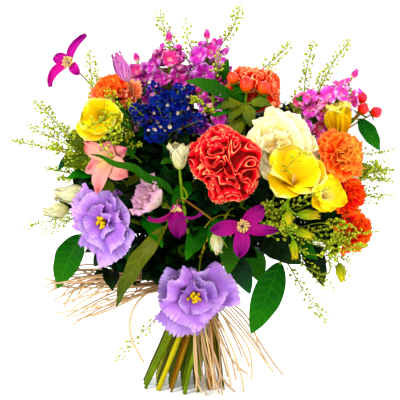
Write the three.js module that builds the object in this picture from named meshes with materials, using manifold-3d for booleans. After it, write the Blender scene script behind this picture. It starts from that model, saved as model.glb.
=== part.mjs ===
// A hand-tied mixed bouquet, standing on its cut stems: +Z is up, lengths are in millimetres,
// and the origin is the cut end of the middle stem, on the surface that the bunch stands on.
// The stems run up through a raffia tie in one spiral, and each carries its own bloom or spray.
import * as THREE from "three";
import { mergeVertices } from "three/addons/utils/BufferGeometryUtils.js";
import Module from "manifold-3d";

const wasm = await Module();
wasm.setup();

// Driving dimensions of the bunch of stems
const TIE_Z = 122; // height of the tie's middle, where the stems are closest
const TIE_X = 17; // the bunch leans this far to the right on its way up to the tie
const STEM_PITCH = 6.4; // from stem to stem in the tie
const STEM_R = 3.0; // a stem's radius in the tie
const FOOT_SPREAD = 2.55; // how much wider apart the stems stand at their cut ends
const SPIRAL = THREE.MathUtils.degToRad(28); // turn of the bunch from the cut ends to the tie
const FLARE_Z = 22; // height above the tie up to which the stems still spread evenly
const FLARE = 1.5; // how much wider apart they stand there
const BAND_BELOW = 9; // reach of the raffia band below and above the tie's middle
const BAND_ABOVE = 5;
const BAND_T = 2.2; // thickness of the raffia band
const SEAT = 0.35; // gap between a bloom and the stem that it sits on
const CLEAR = 0.3; // least gap between any two pieces

// Thickness of the blades
const LEAF_T = 1.0;
const PETAL_T = 0.9;

const v3 = (x, y, z) => new THREE.Vector3(x, y, z);
const toward = (d) => v3(...d).normalize();
const radians = THREE.MathUtils.degToRad;

// A repeatable source of random numbers from 0 to 1.
function randomSource(seed) {
  let state = seed;
  return () => {
    state = (state + 0x6d2b79f5) | 0;
    let t = Math.imul(state ^ (state >>> 15), 1 | state);
    t = (t + Math.imul(t ^ (t >>> 7), 61 | t)) ^ t;
    return ((t ^ (t >>> 14)) >>> 0) / 4294967296;
  };
}
const random = randomSource(41);
const jitter = (size) => (random() * 2 - 1) * size;

// A closed mesh as a solid for joining: from its points and triangles, or from a lathe geometry whose
// doubled points are merged and whose empty triangles on the axis are left out.
function solidFrom(points, triangles) {
  return new wasm.Manifold(
    new wasm.Mesh({
      numProp: 3,
      vertProperties: new Float32Array(points.flatMap((p) => [p.x, p.y, p.z])),
      triVerts: new Uint32Array(triangles.flat()),
    }),
  );
}
function solidOf(geometry) {
  const bare = new THREE.BufferGeometry().setIndex(geometry.index);
  bare.setAttribute("position", geometry.getAttribute("position"));
  const merged = mergeVertices(bare, 1e-3);
  const position = merged.getAttribute("position");
  const points = Array.from({ length: position.count }, (_, i) => v3().fromBufferAttribute(position, i));
  const corners = Array.from(merged.index.array);
  const triangles = [];
  for (let i = 0; i < corners.length; i += 3) {
    const [a, b, c] = corners.slice(i, i + 3);
    if (a !== b && b !== c && c !== a) triangles.push([a, b, c]);
  }
  return solidFrom(points, triangles);
}

// The frame whose Z runs along direction, at a point, turned by spin about that direction.
function frameAt(at, direction, spin = 0) {
  const turn = new THREE.Quaternion().setFromUnitVectors(v3(0, 0, 1), direction);
  turn.multiply(new THREE.Quaternion().setFromAxisAngle(v3(0, 0, 1), spin));
  return new THREE.Matrix4().compose(at, turn, v3(1, 1, 1));
}

// The pieces, each a list of solids that are joined at the end, and what each one's colour is.
const pieces = new Map();
function add(name, solid) {
  pieces.get(name).parts.push({ solid, box: boxOf(solid) });
  return solid;
}
function begin(name, colour, roughness = 0.6) {
  pieces.set(name, { parts: [], colour, roughness });
  return name;
}
function boxOf(solid) {
  const { min, max } = solid.boundingBox();
  return new THREE.Box3(v3(...min), v3(...max));
}

// True if a solid keeps its distance from every other piece.
function isFree(name, solid, gap = CLEAR) {
  const box = boxOf(solid).expandByScalar(gap);
  for (const [other, { parts }] of pieces) {
    if (other === name) continue;
    for (const part of parts) {
      if (box.intersectsBox(part.box) && solid.minGap(part.solid, gap) < gap) return false;
    }
  }
  return true;
}

// Adds the first of several tries that is free, and returns it.
function addFirstFree(name, tries, make) {
  for (let k = 0; k < tries; k++) {
    const solid = make(k);
    if (isFree(name, solid)) return add(name, solid);
  }
  return null;
}

// A closed tube through points, with a radius at each. A level foot is cut flat at its first point.
function tube(points, radii, { sides = 5, level = false, reference = v3(1, 0, 0) } = {}) {
  const last = points.length - 1;
  const tangents = points.map((_, i) =>
    points[Math.min(i + 1, last)].clone().sub(points[Math.max(i - 1, 0)]).normalize(),
  );
  let normal = reference.clone();
  if (Math.abs(normal.dot(tangents[0])) > 0.9) normal = v3(0, 1, 0);
  const corners = [];
  points.forEach((p, i) => {
    normal = normal.clone().addScaledVector(tangents[i], -normal.dot(tangents[i])).normalize();
    const side = tangents[i].clone().cross(normal);
    for (let k = 0; k < sides; k++) {
      const a = (2 * Math.PI * k) / sides;
      const corner = p.clone().addScaledVector(normal, Math.cos(a) * radii[i]);
      corner.addScaledVector(side, Math.sin(a) * radii[i]);
      if (level && i === 0) {
        corner.addScaledVector(tangents[0], (p.z - corner.z) / tangents[0].z);
        corner.z = p.z;
      }
      corners.push(corner);
    }
  });
  const triangles = [];
  for (let i = 0; i < last; i++) {
    for (let k = 0; k < sides; k++) {
      const a = i * sides + k;
      const b = i * sides + ((k + 1) % sides);
      triangles.push([a, b, b + sides], [a, b + sides, a + sides]);
    }
  }
  for (let k = 1; k + 1 < sides; k++) {
    triangles.push([0, k + 1, k]);
    triangles.push([last * sides, last * sides + k, last * sides + k + 1]);
  }
  return solidFrom(corners, triangles);
}

// A closed blade of even thickness round a middle surface, given as points and triangles. Below its
// first point it may reach down to a root.
function thicken(middle, faces, thickness, root) {
  const normals = middle.map(() => v3(0, 0, 0));
  for (const [a, b, c] of faces) {
    const n = middle[b].clone().sub(middle[a]).cross(middle[c].clone().sub(middle[a]));
    for (const k of [a, b, c]) normals[k].add(n);
  }
  normals.forEach((n) => n.normalize());
  const top = middle.map((p, k) => p.clone().addScaledVector(normals[k], thickness / 2));
  const under = middle.map((p, k) => p.clone().addScaledVector(normals[k], -thickness / 2));
  if (root) under[0] = root;
  const n = middle.length;
  const triangles = [...faces, ...faces.map(([a, b, c]) => [a + n, c + n, b + n])];
  const edges = new Set(faces.flatMap(([a, b, c]) => [`${a},${b}`, `${b},${c}`, `${c},${a}`]));
  for (const edge of edges) {
    const [a, b] = edge.split(",").map(Number);
    if (!edges.has(`${b},${a}`)) triangles.push([b, a, a + n], [b, a + n, b + n]);
  }
  return solidFrom([...top, ...under], triangles);
}

// The triangles between two rows of point numbers, which may differ in count.
function between(low, high) {
  const faces = [];
  let [i, j] = [0, 0];
  while (i + 1 < low.length || j + 1 < high.length) {
    const nextLow = low.length > 1 ? (i + 0.5) / (low.length - 1) : 2;
    const nextHigh = high.length > 1 ? (j + 0.5) / (high.length - 1) : 2;
    if (j + 1 >= high.length || (i + 1 < low.length && nextLow <= nextHigh)) {
      faces.push([low[i], low[i + 1], high[j]]);
      i++;
    } else {
      faces.push([low[i], high[j + 1], high[j]]);
      j++;
    }
  }
  return faces;
}

// A blade from rows of points on its middle surface.
function slab(rows, thickness) {
  const middle = rows.flat();
  let n = 0;
  const numbers = rows.map((row) => row.map(() => n++));
  const faces = numbers.slice(1).flatMap((row, j) => between(numbers[j], row));
  return thicken(middle, faces, thickness);
}

// A turned solid: pairs of radius and height along Z, from axis to axis.
function turned(profile, sides, frame) {
  const outline = profile.map(([r, z]) => new THREE.Vector2(r, z));
  const geometry = new THREE.LatheGeometry(outline, sides).rotateX(Math.PI / 2);
  return solidOf(geometry.applyMatrix4(frame));
}

// Radius and height of a petal's midrib at a share of its length. The angle between the rib and the
// bloom's axis goes evenly from lift[0] to lift[1]. A fold under 1 shuts the petal that much.
function ribAt(whorl, along, fold) {
  const low = radians(whorl.lift[0] * fold);
  const angle = THREE.MathUtils.lerp(low, radians(whorl.lift[1] * fold), along);
  const height = whorl.height ?? 0;
  const bend = radians((whorl.lift[1] - whorl.lift[0]) * fold);
  if (Math.abs(bend) < 1e-3) {
    const run = whorl.length * along;
    return { r: Math.sin(low) * run, z: height + Math.cos(low) * run, angle };
  }
  const r = (whorl.length * (Math.cos(low) - Math.cos(angle))) / bend;
  const z = height + (whorl.length * (Math.sin(angle) - Math.sin(low))) / bend;
  return { r, z, angle };
}

// The free rows of one petal. Each row is a share of the length and how much of the room on the
// circle the petal takes up there. One side laps over the next petal, and the other lies under.
function freeRows(whorl, turn, fold, size) {
  const cells = whorl.cells ?? 2;
  return whorl.free.map(([share, fill]) => {
    const along = share * size;
    const { r, z, angle } = ribAt(whorl, along, fold);
    const free = (share - whorl.join) / (1 - whorl.join);
    const room = Math.min((fill * Math.PI * Math.max(r, 3)) / whorl.count, whorl.widest ?? 99);
    const row = [];
    for (let i = 0; i <= (fill ? cells : 0); i++) {
      const u = fill ? (2 * i) / cells - 1 : 0;
      const ruffle = (whorl.wave ?? 0) * free * Math.cos(Math.PI * i);
      const bow = (whorl.cup ?? 0) * u * u * room - (whorl.lap ?? 0) * u * free + ruffle;
      const p = v3(r - Math.cos(angle) * bow, u * room, z + Math.sin(angle) * bow);
      row.push(p.applyAxisAngle(v3(0, 0, 1), turn));
    }
    return row;
  });
}

// A whorl of petals joined round its centre up to a share of their length. A petal that would touch
// another piece is folded up until it is clear.
function addWhorl(name, frame, whorl) {
  const { count, join } = whorl;
  const turns = whorl.turns?.map(radians) ?? [];
  const sizes = [];
  for (let k = 0; k < count; k++) {
    if (!whorl.turns) turns.push((whorl.turn ?? 0) + (2 * Math.PI * k) / count);
    sizes.push((whorl.sizes?.[k] ?? (k % 2 ? (whorl.inner ?? 1) : 1)) * (1 + jitter(whorl.uneven ?? 0.04)));
  }
  const notchTurn = (k) => {
    return (turns[k % count] + turns[(k + count - 1) % count]) / 2 + (k % count ? 0 : Math.PI);
  };
  const place = (p) => p.applyMatrix4(frame);
  const centre = v3(0, 0, whorl.height ?? 0);
  const notchAt = (k, fold) => {
    const { r, z } = ribAt(whorl, join, fold);
    return v3(r, 0, z).applyAxisAngle(v3(0, 0, 1), notchTurn(k));
  };
  const folds = turns.map((turn, k) => {
    for (let step = 0; step < 24; step++) {
      const fold = Math.max(0.5, 1 - 0.08 * step);
      if (step > 6) sizes[k] *= 0.97;
      const sides = [notchAt(k, fold), notchAt(k + 1, fold)];
      const rows = [[centre.clone()], sides, ...freeRows(whorl, turn, fold, sizes[k])];
      if (isFree(name, slab(rows.map((row) => row.map(place)), PETAL_T))) return fold;
    }
    console.warn(`${name}: petal ${k} of ${count} has no room`);
    return 0.5;
  });
  const points = [centre];
  const faces = [];
  const notches = turns.map((_, k) => {
    return points.push(notchAt(k, (folds[k] + folds[(k + count - 1) % count]) / 2)) - 1;
  });
  for (let k = 0; k < count; k++) {
    let row = [notches[k], notches[(k + 1) % count]];
    faces.push([0, row[0], row[1]]);
    for (const next of freeRows(whorl, turns[k], folds[k], sizes[k])) {
      const numbers = next.map((p) => points.push(p) - 1);
      faces.push(...between(row, numbers).map(([a, b, c]) => [a, c, b]));
      row = numbers;
    }
  }
  const root = place(v3(0, 0, whorl.root ?? 0));
  return add(name, thicken(points.map(place), faces, PETAL_T, root));
}

// A leaf from its base to its tip, whose upper side faces the given way, arched by sag.
const BROAD_LEAF = [0, 0.85, 1, 0.6, 0];
const SMALL_LEAF = [0, 1, 0.8, 0];
function leafSolid(base, tip, width, face, sag = 0.1, shape = SMALL_LEAF) {
  const axis = tip.clone().sub(base);
  const length = axis.length();
  const side = axis.clone().cross(face).normalize();
  const up = side.clone().cross(axis).normalize();
  const rows = shape.map((share, j) => {
    const t = j / (shape.length - 1);
    const spine = base.clone().addScaledVector(axis, t);
    spine.addScaledVector(up, Math.sin(Math.PI * t) * sag * length);
    if (!share) return [spine];
    return [-1, 0, 1].map((u) => {
      const edge = spine.clone().addScaledVector(side, u * share * width * 0.5);
      return edge.addScaledVector(up, u * u * share * width * 0.14);
    });
  });
  return slab(rows, LEAF_T);
}

// The bunch: how wide and how turned it is at a height, and how far over it stands.
function inBunch(slot, z) {
  const drop = (TIE_Z - z) / TIE_Z;
  const rise = (z - TIE_Z) / FLARE_Z;
  const below = Math.sqrt(1 + (FOOT_SPREAD ** 2 - 1) * drop * drop);
  const spread = rise > 0 ? 1 + (FLARE - 1) * rise : below;
  const p = slot.clone().multiplyScalar(spread);
  p.rotateAround(new THREE.Vector2(0, 0), -SPIRAL * drop);
  return v3(p.x + TIE_X * (z / TIE_Z), p.y, z);
}

// Slots of a hexagonal packing: a middle one and rings of 6, 12 and 18 round it.
function slotsOfRing(ring) {
  const origin = new THREE.Vector2(0, 0);
  if (ring === 0) return [origin];
  const slots = [];
  for (let k = 0; k < 6; k++) {
    const corner = new THREE.Vector2(ring * STEM_PITCH, 0).rotateAround(origin, (k * Math.PI) / 3);
    const step = new THREE.Vector2(STEM_PITCH, 0).rotateAround(origin, ((k + 2) * Math.PI) / 3);
    for (let i = 0; i < ring; i++) slots.push(corner.clone().addScaledVector(step, i));
  }
  return slots;
}

// Gives each stem its slot: the steepest in the middle, the flattest outside, and round each ring in
// the order of the directions that they leave in, so that few need to pass each other.
function giveSlots(all) {
  const fromTie = (s) => v3(...s.head).sub(v3(TIE_X, 0, TIE_Z));
  const bearing = (p) => Math.atan2(p.y, p.x);
  const slope = (s) => Math.atan2(Math.hypot(fromTie(s).x, fromTie(s).y), fromTie(s).z);
  const byTilt = [...all].sort((a, b) => slope(a) - slope(b));
  for (let ring = 0; byTilt.length; ring++) {
    const slots = slotsOfRing(ring).sort((a, b) => bearing(a) - bearing(b));
    const group = byTilt.splice(0, slots.length);
    group.sort((a, b) => bearing(fromTie(a)) - bearing(fromTie(b)));
    const slotOf = (k, shift) =>
      slots[Math.floor(((k + shift) * slots.length) / group.length) % slots.length];
    const misfit = (shift) =>
      group.reduce((sum, s, k) => {
        return sum + 1 - Math.cos(bearing(slotOf(k, shift)) - bearing(fromTie(s)));
      }, 0);
    const shifts = group.map((_, k) => k);
    const best = shifts.reduce((a, b) => (misfit(b) < misfit(a) ? b : a));
    group.forEach((s, k) => (s.slot = slotOf(k, best)));
  }
}

// Points of a smooth way from a start to an end, leaving and arriving in the given directions.
function wayPoints(start, leave, end, arrive, steps, handle) {
  const reach = start.distanceTo(end) * handle;
  const curve = new THREE.CubicBezierCurve3(
    start,
    start.clone().addScaledVector(leave, reach),
    end.clone().addScaledVector(arrive, -reach),
    end,
  );
  return curve.getPoints(steps);
}

// The middle line of a tube, straight from point to point, to measure along.
function straightThrough(points) {
  return new THREE.CatmullRomCurve3(points, false, "catmullrom", 0);
}

// Grows a stem from its cut end through the tie to its head, where it may widen into a calyx. The
// way above the tie is redrawn until it is clear of the stems that stand already.
function growStem(stem) {
  const feet = [0, 0.5 * TIE_Z, TIE_Z, TIE_Z + FLARE_Z].map((z) => inBunch(stem.slot, z));
  const top = feet[3];
  const head = v3(...stem.head);
  const arrive = toward(stem.facing);
  const steps = stem.steps ?? 4;
  const topR = stem.topR ?? 1.9;
  const [calyxR, calyxLength] = stem.calyx ?? [0, 0];
  const end = head.clone().addScaledVector(arrive, -calyxLength);
  const flow = top.clone().sub(feet[2]).normalize();
  const made = addFirstFree(stem.name, 300, (k) => {
    const loose = Math.min(k, 100) * 0.008;
    const nudge = () => v3(jitter(loose), jitter(loose), jitter(loose));
    const leave = flow.clone().add(nudge()).addScaledVector(end.clone().sub(top).normalize(), 0.3);
    const into = arrive.clone().add(nudge()).normalize();
    const upper = wayPoints(top, leave.normalize(), end, into, steps, 0.36 + jitter(loose * 0.3));
    stem.points = [...feet, ...upper.slice(1)];
    const radii = stem.points.map((_, i) => {
      if (i < 3) return STEM_R * THREE.MathUtils.lerp(stem.girth ?? 1, 1, i / 2);
      return THREE.MathUtils.lerp(STEM_R, topR, (i - 2) / (steps + 1));
    });
    const points = [...stem.points];
    if (calyxR) {
      points.push(end.clone().addScaledVector(arrive, calyxLength * 0.55), head);
      radii.push(calyxR, calyxR * 0.85);
    }
    return tube(points, radii, { level: true });
  });
  if (!made) console.warn(`${stem.name} found no free way`);
  stem.curve = straightThrough(stem.points.slice(3));
}

// A thin branch from a share of the way up a stem to a point, redrawn until it is clear.
function addBranch(name, stem, share, end, arrive, options = {}) {
  const { radius = [1.2, 0.9], steps = 3, sides = 4, calyx = [0, 0] } = options;
  const start = stem.curve.getPointAt(share);
  const leave = stem.curve.getTangentAt(share);
  const tip = end.clone().addScaledVector(arrive, -calyx[1]);
  let points;
  const made = addFirstFree(name, 250, (k) => {
    const loose = Math.min(k, 100) * 0.012;
    const nudge = () => v3(jitter(loose), jitter(loose), jitter(loose));
    const out = tip.clone().sub(start).normalize().add(leave).add(nudge()).normalize();
    const into = arrive.clone().add(nudge()).normalize();
    points = wayPoints(start, out, tip, into, steps, 0.33 + jitter(loose * 0.15));
    const radii = points.map((_, i) => THREE.MathUtils.lerp(radius[0], radius[1], i / steps));
    if (!calyx[0]) return tube(points, radii, { sides });
    const cup = [tip.clone().addScaledVector(arrive, calyx[1] * 0.55), end];
    return tube([...points, ...cup], [...radii, calyx[0], calyx[0] * 0.85], { sides });
  });
  if (!made) console.warn(`${name}: no free way for a branch to ${end.toArray().map(Math.round)}`);
  return made && straightThrough(points);
}

// Blooms. Each starts a little beyond the head of its stem and opens along facing. Each whorl of
// petals stands with its root in the centre of the whorl below it.
function bloomFrame(spec) {
  const facing = toward(spec.facing);
  return frameAt(v3(...spec.head).addScaledVector(facing, SEAT), facing, spec.spin ?? 0);
}

function lisianthus(name, spec) {
  begin(name, spec.colour ?? 0xa67ad6, 0.55);
  const frame = bloomFrame(spec);
  const R = spec.radius;
  addWhorl(name, frame, {
    count: 5, length: R * 1.3, lift: [40, 84], height: 2.5, join: 0.34, cells: spec.cells ?? 3,
    free: [[0.7, 1.16], [1, 0.98]], lap: 3.2, wave: 1.8, cup: -0.06,
  });
  addWhorl(name, frame, {
    count: 4, length: R * 1.02, lift: [20, 50], height: 7, root: 2, join: 0.34, turn: 0.6,
    free: [[0.68, 1.2], [1, 1.1]], lap: 2.6, wave: 1.2, cup: 0.06,
  });
}

function paleLisianthus(name, spec) {
  begin(name, 0xdcb7d2, 0.55);
  const frame = bloomFrame(spec);
  addWhorl(name, frame, {
    count: 5, length: spec.radius * 1.9, lift: [52, 12], height: 2.5, join: 0.5,
    free: [[1, 0.94]], lap: 1.6, wave: 0.5,
  });
}

// Layers of a carnation: petals, length, lift at the root and at the rim, turn and cells across.
const FULL_LAYERS = [
  [6, 1.05, 62, 94, 0, 3],
  [5, 1.0, 40, 66, 0.5, 3],
  [4, 0.95, 22, 40, 0.2, 2],
  [3, 0.9, 8, 18, 0.9, 2],
];
const SPRAY_LAYERS = [
  [5, 1.06, 62, 90, 0, 3],
  [4, 0.98, 34, 56, 0.6, 2],
  [3, 0.92, 12, 24, 0.2, 2],
];
function carnation(name, spec) {
  begin(name, spec.colour, 0.6);
  const frame = bloomFrame(spec);
  const R = spec.radius;
  spec.layers.forEach(([count, length, from, to, turn, cells], layer) => {
    const height = 2.5 + layer * R * 0.09;
    addWhorl(name, frame, {
      count, cells, turn, length: R * length, lift: [from, to], height,
      root: layer ? height - R * 0.09 - 0.3 : 0,
      join: 0.42, free: [[1, 1.22]], lap: R * 0.06, wave: R * 0.07,
    });
  });
}

// A crested head: folds wind side by side over a low dome, with deep furrows between them. A bay may
// be drawn in on one side, at a bearing in degrees and with a depth as a share of the radius.
function crestSolid(frame, R, folds, around, [bayAt, bayDepth] = [0, 0]) {
  const deep = R * 0.64;
  const rows = [];
  for (let j = 0; j < folds; j++) {
    const polar = 9 + (106 * j) / (folds - 1);
    const row = [];
    for (let k = 0; k < around; k++) {
      const turn = (2 * Math.PI * k) / around;
      const sway = Math.min(8, polar * 0.4) * Math.sin(4 * turn + j * 0.5);
      const bearing = turn + 0.16 * Math.sin(3 * turn + j * 1.1);
      const tilt = radians(polar + sway);
      const fold = j % 2 ? 0.8 + jitter(0.03) : 1 + jitter(0.04);
      const nearBay = Math.cos(bearing - radians(bayAt));
      const bay = 1 - bayDepth * Math.exp((nearBay - 1) * 8);
      const r = Math.sin(tilt) * R * fold * bay;
      row.push(v3(r * Math.cos(bearing), r * Math.sin(bearing), deep * (0.9 + Math.cos(tilt) * fold)));
    }
    rows.push(row);
  }
  const neck = rows[0].map((_, k) => {
    const turn = (2 * Math.PI * k) / around;
    return v3(5 * Math.cos(turn), 5 * Math.sin(turn), 0);
  });
  rows.push(neck);
  const points = [v3(0, 0, deep * 1.82), ...rows.flat(), v3(0, 0, 0)];
  const at = (j, k) => 1 + j * around + (k % around);
  const triangles = [];
  for (let k = 0; k < around; k++) {
    triangles.push([0, at(0, k), at(0, k + 1)]);
    triangles.push([points.length - 1, at(rows.length - 1, k + 1), at(rows.length - 1, k)]);
    for (let j = 0; j + 1 < rows.length; j++) {
      triangles.push([at(j, k), at(j + 1, k), at(j + 1, k + 1)]);
      triangles.push([at(j, k), at(j + 1, k + 1), at(j, k + 1)]);
    }
  }
  return solidFrom(points.map((p) => p.applyMatrix4(frame)), triangles);
}
function celosia(name, spec) {
  begin(name, spec.colour, 0.7);
  const frame = bloomFrame(spec);
  const crest = (k) => crestSolid(frame, spec.radius * (1 - 0.02 * k), spec.folds, spec.around, spec.bay);
  if (!addFirstFree(name, 12, crest)) console.warn(`${name} has no room`);
}

function freesiaBloom(name, spec) {
  begin(name, 0xf4c808, 0.5);
  const close = spec.close ?? 1;
  addWhorl(name, bloomFrame(spec), {
    count: 6, length: spec.radius * 1.5, lift: [22 * close, 70 * close], height: 2, join: 0.4,
    inner: 0.92, free: [[0.72, 1.15], [1, 0.8]], lap: 1.6, cup: 0.12, turn: spec.spin ?? 0,
  });
}

function alstroemeria(name, spec) {
  begin(name, 0xf08a92, 0.5);
  addWhorl(name, bloomFrame(spec), {
    count: 6, length: spec.radius * 1.55, lift: [18, 68], height: 2, join: 0.28, inner: 0.9,
    free: [[0.68, 0.98], [1, 0.5]], lap: 1.5, cup: 0.14, wave: 0.6,
  });
}

// Four pointed petals round a tuft of stamens, fused to the end of its stem.
function clematis(name, spec) {
  const facing = toward(spec.facing);
  const frame = frameAt(v3(...spec.head).addScaledVector(facing, -2), facing);
  const R = spec.radius;
  add(name, turned([[0, 2], [3, R * 0.12], [3.6, R * 0.3], [0, R * 0.42]], 4, frame));
  addWhorl(name, frame, {
    count: 4, length: R * 1.12, lift: spec.lift, turns: spec.turns, sizes: spec.sizes,
    height: 2.6, join: 0.22, free: [[0.5, 1.0], [1, 0]], cup: 0.2, widest: R * 0.26,
  });
}

// A floret: a shallow star of four lobes on a slim tube that runs down into the stalk.
function floretSolid(at, facing, R, root) {
  const frame = frameAt(at, facing, random() * Math.PI);
  const points = [v3(0, 0, -R * 0.12), v3(0, 0, -root)];
  const ring = (count, radius, z, turn = 0) => {
    for (let k = 0; k < count; k++) {
      const a = (2 * Math.PI * (k + turn)) / count;
      points.push(v3(radius * Math.cos(a), radius * Math.sin(a), z));
    }
  };
  ring(4, R, R * 0.2);
  ring(4, R * 0.55, -R * 0.02, 0.5);
  ring(4, R * 0.13, -R * 0.32);
  const triangles = [];
  for (let k = 0; k < 4; k++) {
    const next = (k + 1) % 4;
    const [lobe, lobeAfter, notch, neck, neckAfter] = [2 + k, 2 + next, 6 + k, 10 + k, 10 + next];
    triangles.push([0, lobe, notch], [0, notch, lobeAfter], [lobe, neck, notch]);
    triangles.push([notch, neck, neckAfter], [notch, neckAfter, lobeAfter], [neck, 1, neckAfter]);
  }
  return solidFrom(points.map((p) => p.applyMatrix4(frame)), triangles);
}

// Florets all round the last stretch of a stem.
function addFlorets(stem, { count, from, radius, reach }) {
  for (let k = 0; k < count; k++) {
    const share = THREE.MathUtils.lerp(from, 0.985, k / (count - 1));
    const spot = stem.curve.getPointAt(share);
    const along = stem.curve.getTangentAt(share);
    const size = radius * THREE.MathUtils.lerp(1, 0.72, k / (count - 1));
    addFirstFree(stem.name, 24, (step) => {
      const around = k * 2.4 + jitter(0.1 + step * 0.35);
      const out = v3(Math.cos(around), Math.sin(around), 0);
      out.addScaledVector(along, -out.dot(along)).normalize();
      const facing = out.addScaledVector(along, k === count - 1 ? 3 : 0.45 + step * 0.05).normalize();
      const stretch = reach * (1 - step * 0.015);
      return floretSolid(spot.clone().addScaledVector(facing, stretch), facing, size, stretch);
    });
  }
}

// A finger of tiny florets: a knobbly club that tapers to a stalk.
function fingerSolid(from, out, reach, thick) {
  const rings = [[0.42, 0.2, 0], [0.58, 0.95, 0.25], [0.78, 1, 0.25], [0.94, 0.6, 0.2]];
  const sides = 5;
  const points = [v3(0, 0, 0)];
  rings.forEach(([share, wide, rough], i) => {
    for (let k = 0; k < sides; k++) {
      const a = (2 * Math.PI * (k + 0.5 * i)) / sides;
      const r = thick * wide * (1 + rough * ((k + i) % 2 ? 1 : -1));
      points.push(v3(r * Math.cos(a), r * Math.sin(a), reach * share));
    }
  });
  points.push(v3(0, 0, reach));
  const at = (i, k) => 1 + i * sides + (k % sides);
  const triangles = [];
  for (let k = 0; k < sides; k++) {
    triangles.push([0, at(0, k + 1), at(0, k)], [points.length - 1, at(3, k), at(3, k + 1)]);
    for (let i = 0; i < 3; i++) {
      triangles.push([at(i, k), at(i, k + 1), at(i + 1, k)]);
      triangles.push([at(i, k + 1), at(i + 1, k + 1), at(i + 1, k)]);
    }
  }
  const frame = frameAt(from, out);
  return solidFrom(points.map((p) => p.applyMatrix4(frame)), triangles);
}

// A head of fingers that fan out from a small knot at the end of a stem.
function addFingers(stem, { count, reach, thick, spread }) {
  const facing = toward(stem.facing);
  const at = v3(...stem.head).addScaledVector(facing, -2);
  const frame = frameAt(v3(0, 0, 0), facing);
  for (let k = 0; k < count; k++) {
    addFirstFree(stem.name, 20, (step) => {
      const polar = radians(spread) * Math.sqrt((k + 0.2) / count) * (1 - step * 0.03);
      const around = k * 2.39996 + jitter(step * 0.12);
      const side = v3(Math.cos(around), Math.sin(around), 0).multiplyScalar(Math.sin(polar));
      const out = side.add(v3(0, 0, Math.cos(polar))).applyMatrix4(frame).normalize();
      const far = reach * (1 - 0.18 * (k / count)) * (1 - step * 0.03);
      return fingerSolid(at.clone().addScaledVector(out, 1.5), out, far, thick);
    });
  }
}

// A berry or a bud: a turned bead on the end of a branch.
function addBead(name, at, facing, length, radius, sides = 5) {
  const profile = [[0, 0], [radius * 0.85, length * 0.22], [radius, length * 0.6], [0, length]];
  const frame = frameAt(at.clone().addScaledVector(facing, -1), facing);
  return addFirstFree(name, 1, () => turned(profile, sides, frame));
}
function addBeadOnBranch(stemName, share, tip, facing, length, radius, stalk = [1.1, 0.9]) {
  const way = toward(facing);
  const end = v3(...tip).addScaledVector(way, -length);
  const options = { radius: stalk, steps: 2, sides: 3 };
  const curve = addBranch(stemName, named[stemName], share, end, way, options);
  if (curve && !addBead(stemName, end, way, length, radius)) console.warn(`${stemName}: no room at ${tip}`);
}

// A pod on its stalk: a three-cornered spoon.
function podSolid(at, facing, stalk, size) {
  const wide = stalk + size * 0.55;
  const points = [
    v3(0.4, 0, 0), v3(-0.25, 0.35, 0), v3(-0.25, -0.35, 0),
    v3(0.8, 0, wide), v3(-0.6, size * 0.45, wide), v3(-0.6, -size * 0.45, wide),
    v3(0, 0, stalk + size),
  ];
  const triangles = [[0, 2, 1]];
  for (let k = 0; k < 3; k++) {
    const [a, b] = [k, (k + 1) % 3];
    triangles.push([a, b, b + 3], [a, b + 3, a + 3], [a + 3, b + 3, 6]);
  }
  const frame = frameAt(at, facing, random() * Math.PI);
  return solidFrom(points.map((p) => p.applyMatrix4(frame)), triangles);
}

// A wand: a thin branch whose outer half carries pods all round.
const PODS = 5;
function addWand(stemName, share, tip, lean) {
  const stem = named[stemName];
  const options = { radius: [1.4, 0.9], steps: 3, sides: 3 };
  const curve = addBranch(stemName, stem, share, v3(...tip), toward(lean), options);
  if (!curve) return;
  for (let k = 0; k < PODS; k++) {
    const place = 0.99 - 0.5 * (k / PODS) ** 1.1;
    const spot = curve.getPointAt(place);
    const along = curve.getTangentAt(place);
    addFirstFree(stemName, 10, (step) => {
      const around = k * 2.4 + step * 0.9;
      const out = v3(Math.cos(around), Math.sin(around), 0.2);
      out.addScaledVector(along, -out.dot(along)).normalize();
      const facing = out.addScaledVector(along, k === 0 ? 3 : 0.8).normalize();
      return podSolid(spot, facing, 3 + 3.5 * Math.min(1, k / 3), 4.4);
    });
  }
}

// A leaf on a stalk of its own from a share of the way up a stem.
function addLeaf(stemName, share, base, tip, width, face = [0, -1, 0.3], sag = 0.1, shape = BROAD_LEAF) {
  const start = v3(...base);
  const end = v3(...tip);
  const axis = end.clone().sub(start).normalize();
  const across = axis.clone().cross(toward(face)).normalize();
  const away = axis.clone().addScaledVector(across.cross(axis), 2.8 * sag).normalize();
  const options = { radius: [1.2, 0.9], steps: 3, sides: 3 };
  const stalkEnd = start.clone().addScaledVector(away, 2.5);
  const stalk = addBranch(stemName, named[stemName], share, stalkEnd, away, options);
  if (!stalk) return;
  const found = addFirstFree(stemName, 60, (step) => {
    const loose = step * 0.02;
    const way = toward(face).add(v3(jitter(loose), jitter(loose), jitter(loose))).normalize();
    const shift = end.distanceTo(start) * loose * 0.5;
    const point = end.clone().add(v3(jitter(shift), jitter(shift), jitter(shift)));
    return leafSolid(start, point, width * (1 - 0.006 * step), way, sag, shape);
  });
  if (!found) console.warn(`${stemName}: no room for a leaf at ${base}`);
}

// The arrangement
const GREEN = 0x5b8a2b;
const DARK_GREEN = 0x1f5a24;
const POD_GREEN = 0x9ccb3f;
const MAGENTA = 0xc219b4;
const BLUE = 0x1a2fae;
const ORANGE = 0xff6a2a;
const RED_ORANGE = 0xff4a14;
const CORAL = 0xee4a4f;
const RED = 0xe0202f;
const CREAM = 0xf7eec0;

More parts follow.
